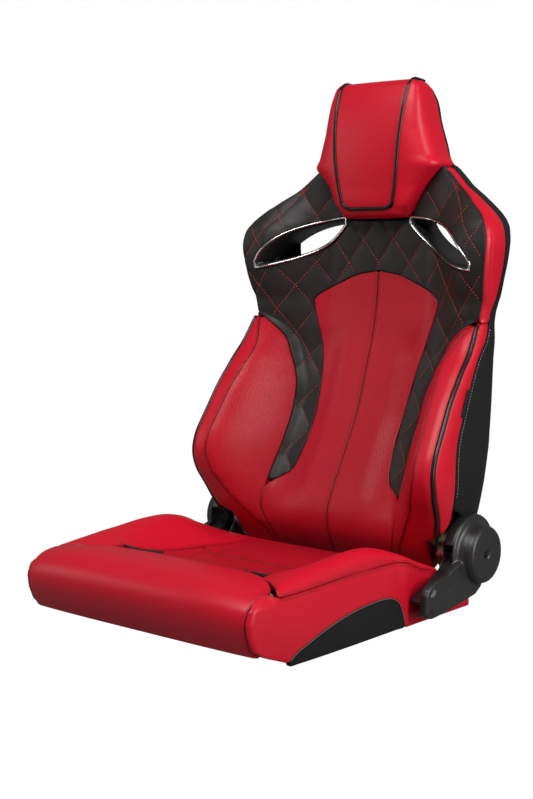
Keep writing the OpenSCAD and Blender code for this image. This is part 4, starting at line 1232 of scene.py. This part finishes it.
flank_front = [(float(front_end(z)) - 4.0, float(z)) for z in np.linspace(108, 40, 14)]
flank_low = [(float(y), float(seat_underside(y)) + 0.5) for y in np.linspace(-318, -252, 10)]
flank_arch = [(float(y), float(arch(y)) + 0.4) for y in np.linspace(-248, 50, 60)]
lock_gap = [(220 - 74.5 * math.cos(a), 104 - 74.5 * math.sin(a)) for a in np.linspace(0.02, 1.9, 26)]
flank_top = [(float(y), float(side_top(y))) for y in np.linspace(144, -322, 90)]
flank_rim = (flank_front + flank_low + flank_arch + [(54.0, 0.5), (250.0, 0.5), (250.0, 32.0)]
             + lock_gap[::-1] + flank_top)
patch_rim = ([(-246.0, 0.6), (52.0, 0.6)]
             + [(float(y), float(arch(y)) - 0.4) for y in np.linspace(51, -244, 60)])
pale_edge = leather("pale_binding", (0.20, 0.17, 0.16, 1), (0.15, 0.13, 0.12, 1), (0.12, 0.10, 0.10, 1), 0.6,
                    pebbles=1500.0)
for side, turn in (("left", 1), ("right", -1)):
    flank = sewn_panel([flank_rim], cushion_flank, (-8, 0, 0), cell=3.8, edge=2.0, sink=1.8,
                       relief=flank_relief)
    patch = sewn_panel([patch_rim], cushion_flank, (-7, 0, 0), cell=4.2, edge=1.6, sink=1.6)
    rows = bmesh.new()
    stitch_row(rows, cushion_flank, [(y, side_top(y) - TWIN_GAP) for y in np.linspace(-262, 138, 96)],
               relief=flank_relief, width=1.1)
    binding = [cushion_flank(y, arch(y)) for y in np.linspace(-246, 51, 70)]
    binding = [(turn * (x + 0.1), y, z) for x, y, z in binding]
    if side == "right":
        flank, patch, rows = flip(flank), flip(patch), flip(rows)
    finish_piece(flank, "cushion_flank_" + side, red_leather, "base",
                 ["cushion_side_" + side])
    finish_piece(patch, "flank_patch_" + side, black_cloth, "base",
                 ["side_patch_" + side])
    finish_piece(rows, "flank_stitches_" + side, black_thread, "base")
    covered_cord(binding, "patch_binding_" + side, 0.5, pale_edge, "base")

# ---- harness openings ----
# A moulded black bezel lines each opening: a rounded lip on the leather, a wide funnel and a sleeve
# through to the rear. A thin bright ring is pressed into the lip.


def plastic(name, light, dark, rough, grain_size=1400.0, bump=0.00008):
    """Moulded plastic with a fine spark-eroded texture, a little brighter and glossier in random patches."""
    made = bpy.data.materials.new(name)
    made.use_nodes = True
    tree = made.node_tree
    skin = tree.nodes["Principled BSDF"]
    place = node(tree, "TexCoord")
    grain = use(tree, GRAIN, [("Vector", place.outputs["Object"]), ("Pebbles", grain_size)])
    tree.links.new(mix(tree, grain.outputs["Tone"], light, dark), skin.inputs["Base Color"])
    gloss = node(tree, "MapRange", links=[
        ("Value", grain.outputs["Tone"]), ("From Min", 0.3), ("From Max", 0.7),
        ("To Min", rough - 0.04), ("To Max", rough + 0.05)])
    tree.links.new(gloss.outputs[0], skin.inputs["Roughness"])
    relief = node(tree, "Bump", links=[("Height", grain.outputs["Height"]), ("Distance", bump)])
    tree.links.new(relief.outputs[0], skin.inputs["Normal"])
    return made


bezel_plastic = plastic("bezel_plastic", (0.016, 0.015, 0.015, 1), (0.010, 0.010, 0.010, 1), 0.38)


def metal(name, light, dark, rough, metallic=1.0, scale=240.0, bump=0.00003):
    """Steel with faint mottling in its tone and gloss."""
    made = bpy.data.materials.new(name)
    made.use_nodes = True
    tree = made.node_tree
    skin = tree.nodes["Principled BSDF"]
    place = node(tree, "TexCoord")
    cloud = node(tree, "TexNoise", links=[
        ("Vector", place.outputs["Object"]), ("Scale", 35.0), ("Detail", 4.0)])
    fine = node(tree, "TexNoise", links=[
        ("Vector", place.outputs["Object"]), ("Scale", scale), ("Detail", 3.0)])
    tree.links.new(mix(tree, cloud.outputs[0], light, dark), skin.inputs["Base Color"])
    gloss = node(tree, "MapRange", links=[
        ("Value", fine.outputs[0]), ("To Min", rough - 0.06), ("To Max", rough + 0.10)])
    tree.links.new(gloss.outputs[0], skin.inputs["Roughness"])
    relief = node(tree, "Bump", links=[("Height", fine.outputs[0]), ("Distance", bump)])
    tree.links.new(relief.outputs[0], skin.inputs["Normal"])
    skin.inputs["Metallic"].default_value = metallic
    return made


bright_ring = metal("bright_ring", (0.86, 0.87, 0.89, 1), (0.78, 0.79, 0.81, 1), 0.16)


def slot_ring(bm, grow, depth, from_rear=False):
    """One loop of the bezel, a depth behind the leather or in front of the rear skin."""
    verts = []
    for x, z in slot_loop(grow, count=40):
        y = back_front(x, z)[1] + depth
        if from_rear:
            x += SLOT_SPLAY
            y = float(back_rear(reach_of(x, z), z)[1]) + depth
        verts.append(bm.verts.new(Vector((x, y, z)) * MM))
    return [bm.edges.new((a, b)) for a, b in zip(verts, verts[1:] + verts[:1])]


def ringed(bm, rings, closed=True):
    """Bridges loop after loop into one skin."""
    for a, b in zip(rings, rings[1:] + rings[:1] if closed else rings[1:]):
        bmesh.ops.bridge_loops(bm, edges=a + b)
    bmesh.ops.recalc_face_normals(bm, faces=bm.faces)
    return bm


LIP = [(6.6, 3.0), (6.6, -0.6), (5.6, -2.2), (4.2, -2.8), (2.6, -2.4), (1.4, -0.4), (0.2, 4.0), (-1.0, 10.0),
       (-2.0, 16.0), (-2.4, 22.0)]
for side in ("left", "right"):
    bezel = bmesh.new()
    loops = [slot_ring(bezel, grow, depth) for grow, depth in LIP]
    loops += [slot_ring(bezel, -1.0, -6.0, True), slot_ring(bezel, 2.6, 0.6, True),
              slot_ring(bezel, 5.6, 1.8, True), slot_ring(bezel, 7.4, 0.8, True),
              slot_ring(bezel, 7.4, -3.0, True), slot_ring(bezel, 2.6, -6.0, True),
              slot_ring(bezel, 1.0, -14.0, True), slot_ring(bezel, 1.4, 24.0)]
    ringed(bezel, loops)
    ring = bmesh.new()
    ringed(ring, [slot_ring(ring, 4.9 + 1.5 * math.cos(a), -2.4 - 1.5 * math.sin(a))
                  for a in np.linspace(0, 2 * math.pi, 9)[:-1]])
    if side == "right":
        bezel, ring = flip(bezel), flip(ring)
    finish_piece(bezel, "harness_bezel_moulding_" + side, bezel_plastic, "backrest",
                 ["harness_bezel_" + side])
    finish_piece(ring, "harness_bright_ring_" + side, bright_ring, "backrest",
                 ["harness_rings"] if side == "left" else ())

# ---- recliner covers ----
# Each recliner has a moulded cover: a round flange and a stepped boss over the lock, and an arm with a
# raised pad that runs down and forward round the lever. It is hollow and open towards the seat.
COVER_WALL = 3.0
cover_base = 262.0
cover_plastic = plastic("cover_plastic", (0.018, 0.017, 0.016, 1), (0.012, 0.011, 0.011, 1), 0.36,
                        grain_size=1100.0, bump=0.00012)
cover_profile = [(0, 68), (15, 68), (18.5, 66.8), (20.5, 64), (21.5, 60.0), (23.5, 56.5), (27, 54),
                 (31, 52.4), (37, 51), (42, 49.6), (45.5, 47.4), (47.4, 44), (48, 40), (48, 37),
                 (46.8, 35.5), (46.8, 12),
                 (46.2, 9.5), (43.5, 8), (43.5, 0)]
hollow_profile = [(-4, 64.5), (14, 64.5), (19, 60), (22, 53), (27, 50), (38, 47), (42.5, 43), (43.0, 38),
                  (42, 0)]


def spun(profile):
    """A closed turned solid on the recline axis, from (depth, radius) points with both ends on the axis."""
    bm = bmesh.new()
    points = [(profile[0][0], 0.0)] + list(profile)
    verts = [bm.verts.new((x * MM, r * MM, 0)) for x, r in points]
    edges = [bm.edges.new(pair) for pair in zip(verts, verts[1:])]
    bmesh.ops.spin(bm, geom=verts + edges, cent=(0, 0, 0), axis=(1, 0, 0), angle=2 * math.pi, steps=96,
                   use_merge=True)
    bmesh.ops.remove_doubles(bm, verts=bm.verts, dist=1e-5)
    bmesh.ops.dissolve_degenerate(bm, dist=1e-6, edges=bm.edges)
    bmesh.ops.recalc_face_normals(bm, faces=bm.faces)
    return bm


def slab_yz(outline, low, high, round_off=0.0):
    """An outline in the frame of the recline axis as a plate from low to high, with rounded front edges."""
    bm = bmesh.new()
    face = bm.faces.new([bm.verts.new((low * MM, y * MM, z * MM)) for y, z in outline])
    made = bmesh.ops.extrude_face_region(bm, geom=[face])
    top = [g for g in made["geom"] if isinstance(g, bmesh.types.BMVert)]
    bmesh.ops.translate(bm, verts=top, vec=((high - low) * MM, 0, 0))
    bmesh.ops.recalc_face_normals(bm, faces=bm.faces)
    if round_off:
        upper = [e for e in bm.edges if all(v.co.x > (high - 0.01) * MM for v in e.verts)]
        bmesh.ops.bevel(bm, geom=upper, offset=round_off * MM, offset_type="OFFSET", segments=4,
                        profile=0.5, affect="EDGES", material=-1)
    return bm


def holder_of(bm, name):
    """A throwaway object for a Boolean."""
    mesh = bpy.data.meshes.new(name)
    bm.to_mesh(mesh)
    bm.free()
    made = bpy.data.objects.new(name, mesh)
    bpy.context.scene.collection.objects.link(made)
    return made


def combined(first, others, name):
    """The first solid with the others joined or cut away, as a bmesh; others are (bmesh, operation)."""
    main = holder_of(first, name)
    extra = []
    for k, (bm, operation) in enumerate(others):
        tool = holder_of(bm, name + "_tool_" + str(k))
        step = main.modifiers.new("step", "BOOLEAN")
        step.operation = operation
        step.solver = "EXACT"
        step.object = tool
        extra.append(tool)
    result = bmesh.new()
    result.from_object(main, bpy.context.evaluated_depsgraph_get())
    for thing in [main] + extra:
        bpy.data.objects.remove(thing)
    return result


def arm_shape(inset):
    """Outline of the arm in the frame of the recline axis, drawn in by inset."""
    return [(-162 + inset, -78 + inset), (-157 + inset, -84 + inset), (-142, -88.5 + inset),
            (-110, -86 + inset),
            (-60, -79 + inset), (-8, -71 + inset), (10 - inset, -60), (14 - inset, -48), (-8, 8),
            (-30, 4 - 0.5 * inset), (-70, -9 - inset), (-84, -14 - inset), (-97, -20.5 - inset),
            (-112, -22 - inset),
            (-132, -25 - inset), (-147, -31 - inset), (-156 + inset, -37 - inset), (-161 + inset, -46)]


arm_window = [(-8, -22), (-60, -46), (-172, -94), (-176, -20), (-160, 26), (-8, 18)]
pad_shape = [(-150, -74), (-138, -79), (-96, -74), (-90, -66), (-96, -40), (-104, -34), (-140, -38),
             (-150, -48)]
outer = combined(spun(cover_profile), [
    (slab_yz(arm_shape(0), 0, 31, 5.0), "UNION"),
    (slab_yz(pad_shape, 20, 35.5, 3.0), "UNION")], "cover_outer")
inner = combined(spun(hollow_profile), [(slab_yz(arm_shape(COVER_WALL), -4, 27), "UNION")], "cover_hollow")
cover = combined(outer, [(inner, "DIFFERENCE"), (slab_yz(arm_window, -2, 17), "DIFFERENCE")], "cover_whole")
cover = remeshed(cover, "cover", 0.0017, 6)
bmesh.ops.translate(cover, verts=cover.verts, vec=(cover_base * MM, pivot[1], pivot[2]))
for side in ("left", "right"):
    shell = cover.copy()
    if side == "right":
        shell = flip(shell)
    finish_piece(shell, "recliner_moulding_" + side, cover_plastic, "base",
                 ["recliner_cover_" + side])
cover.free()

# ---- release levers ----
# A flat textured paddle on each side, moulded over a steel arm, with every edge rounded.
lever_plastic = plastic("lever_plastic", (0.014, 0.013, 0.013, 1), (0.009, 0.009, 0.009, 1), 0.32,
                        grain_size=1300.0, bump=0.0001)
for side in ("left", "right"):
    paddle = remeshed(merged_copy("lever_" + side), "paddle", 0.0012, 5)
    finish_piece(paddle, "release_paddle_" + side, lever_plastic, "release_shaft",
                 ["lever_" + side])

# ---- frame, springs, lock and fasteners ----
# Powder-coated tubes and pressings, oil-black spring wire, ground lock parts and zinc-plated bolts.
# Their shapes are the frame's own and only take their finish here.
powder_coat = metal("black_powder_coat", (0.028, 0.028, 0.030, 1), (0.020, 0.020, 0.022, 1), 0.42,
                    metallic=0.1, scale=900.0, bump=0.00012)
spring_wire = metal("oiled_spring_wire", (0.13, 0.13, 0.135, 1), (0.09, 0.085, 0.08, 1), 0.38)
zinc = metal("zinc_plate", (0.66, 0.65, 0.60, 1), (0.54, 0.54, 0.52, 1), 0.30, scale=500.0)
ground_steel = metal("ground_steel", (0.46, 0.46, 0.47, 1), (0.36, 0.36, 0.37, 1), 0.32, scale=420.0)
screw_black = metal("black_oxide", (0.020, 0.020, 0.021, 1), (0.012, 0.012, 0.013, 1), 0.35, metallic=0.6)
finishes = {
    "painted_steel": powder_coat, "spring_wire": spring_wire, "zinc_fasteners": zinc,
    "lock_steel": ground_steel, "black_screws": screw_black,
}
for row in frame["record"]["subparts"]:
    finish = finishes.get(row["material_slot"])
    if finish is not None:
        mesh = frame["nodes"][row["node"]].data
        mesh.materials.clear()
        mesh.materials.append(finish)
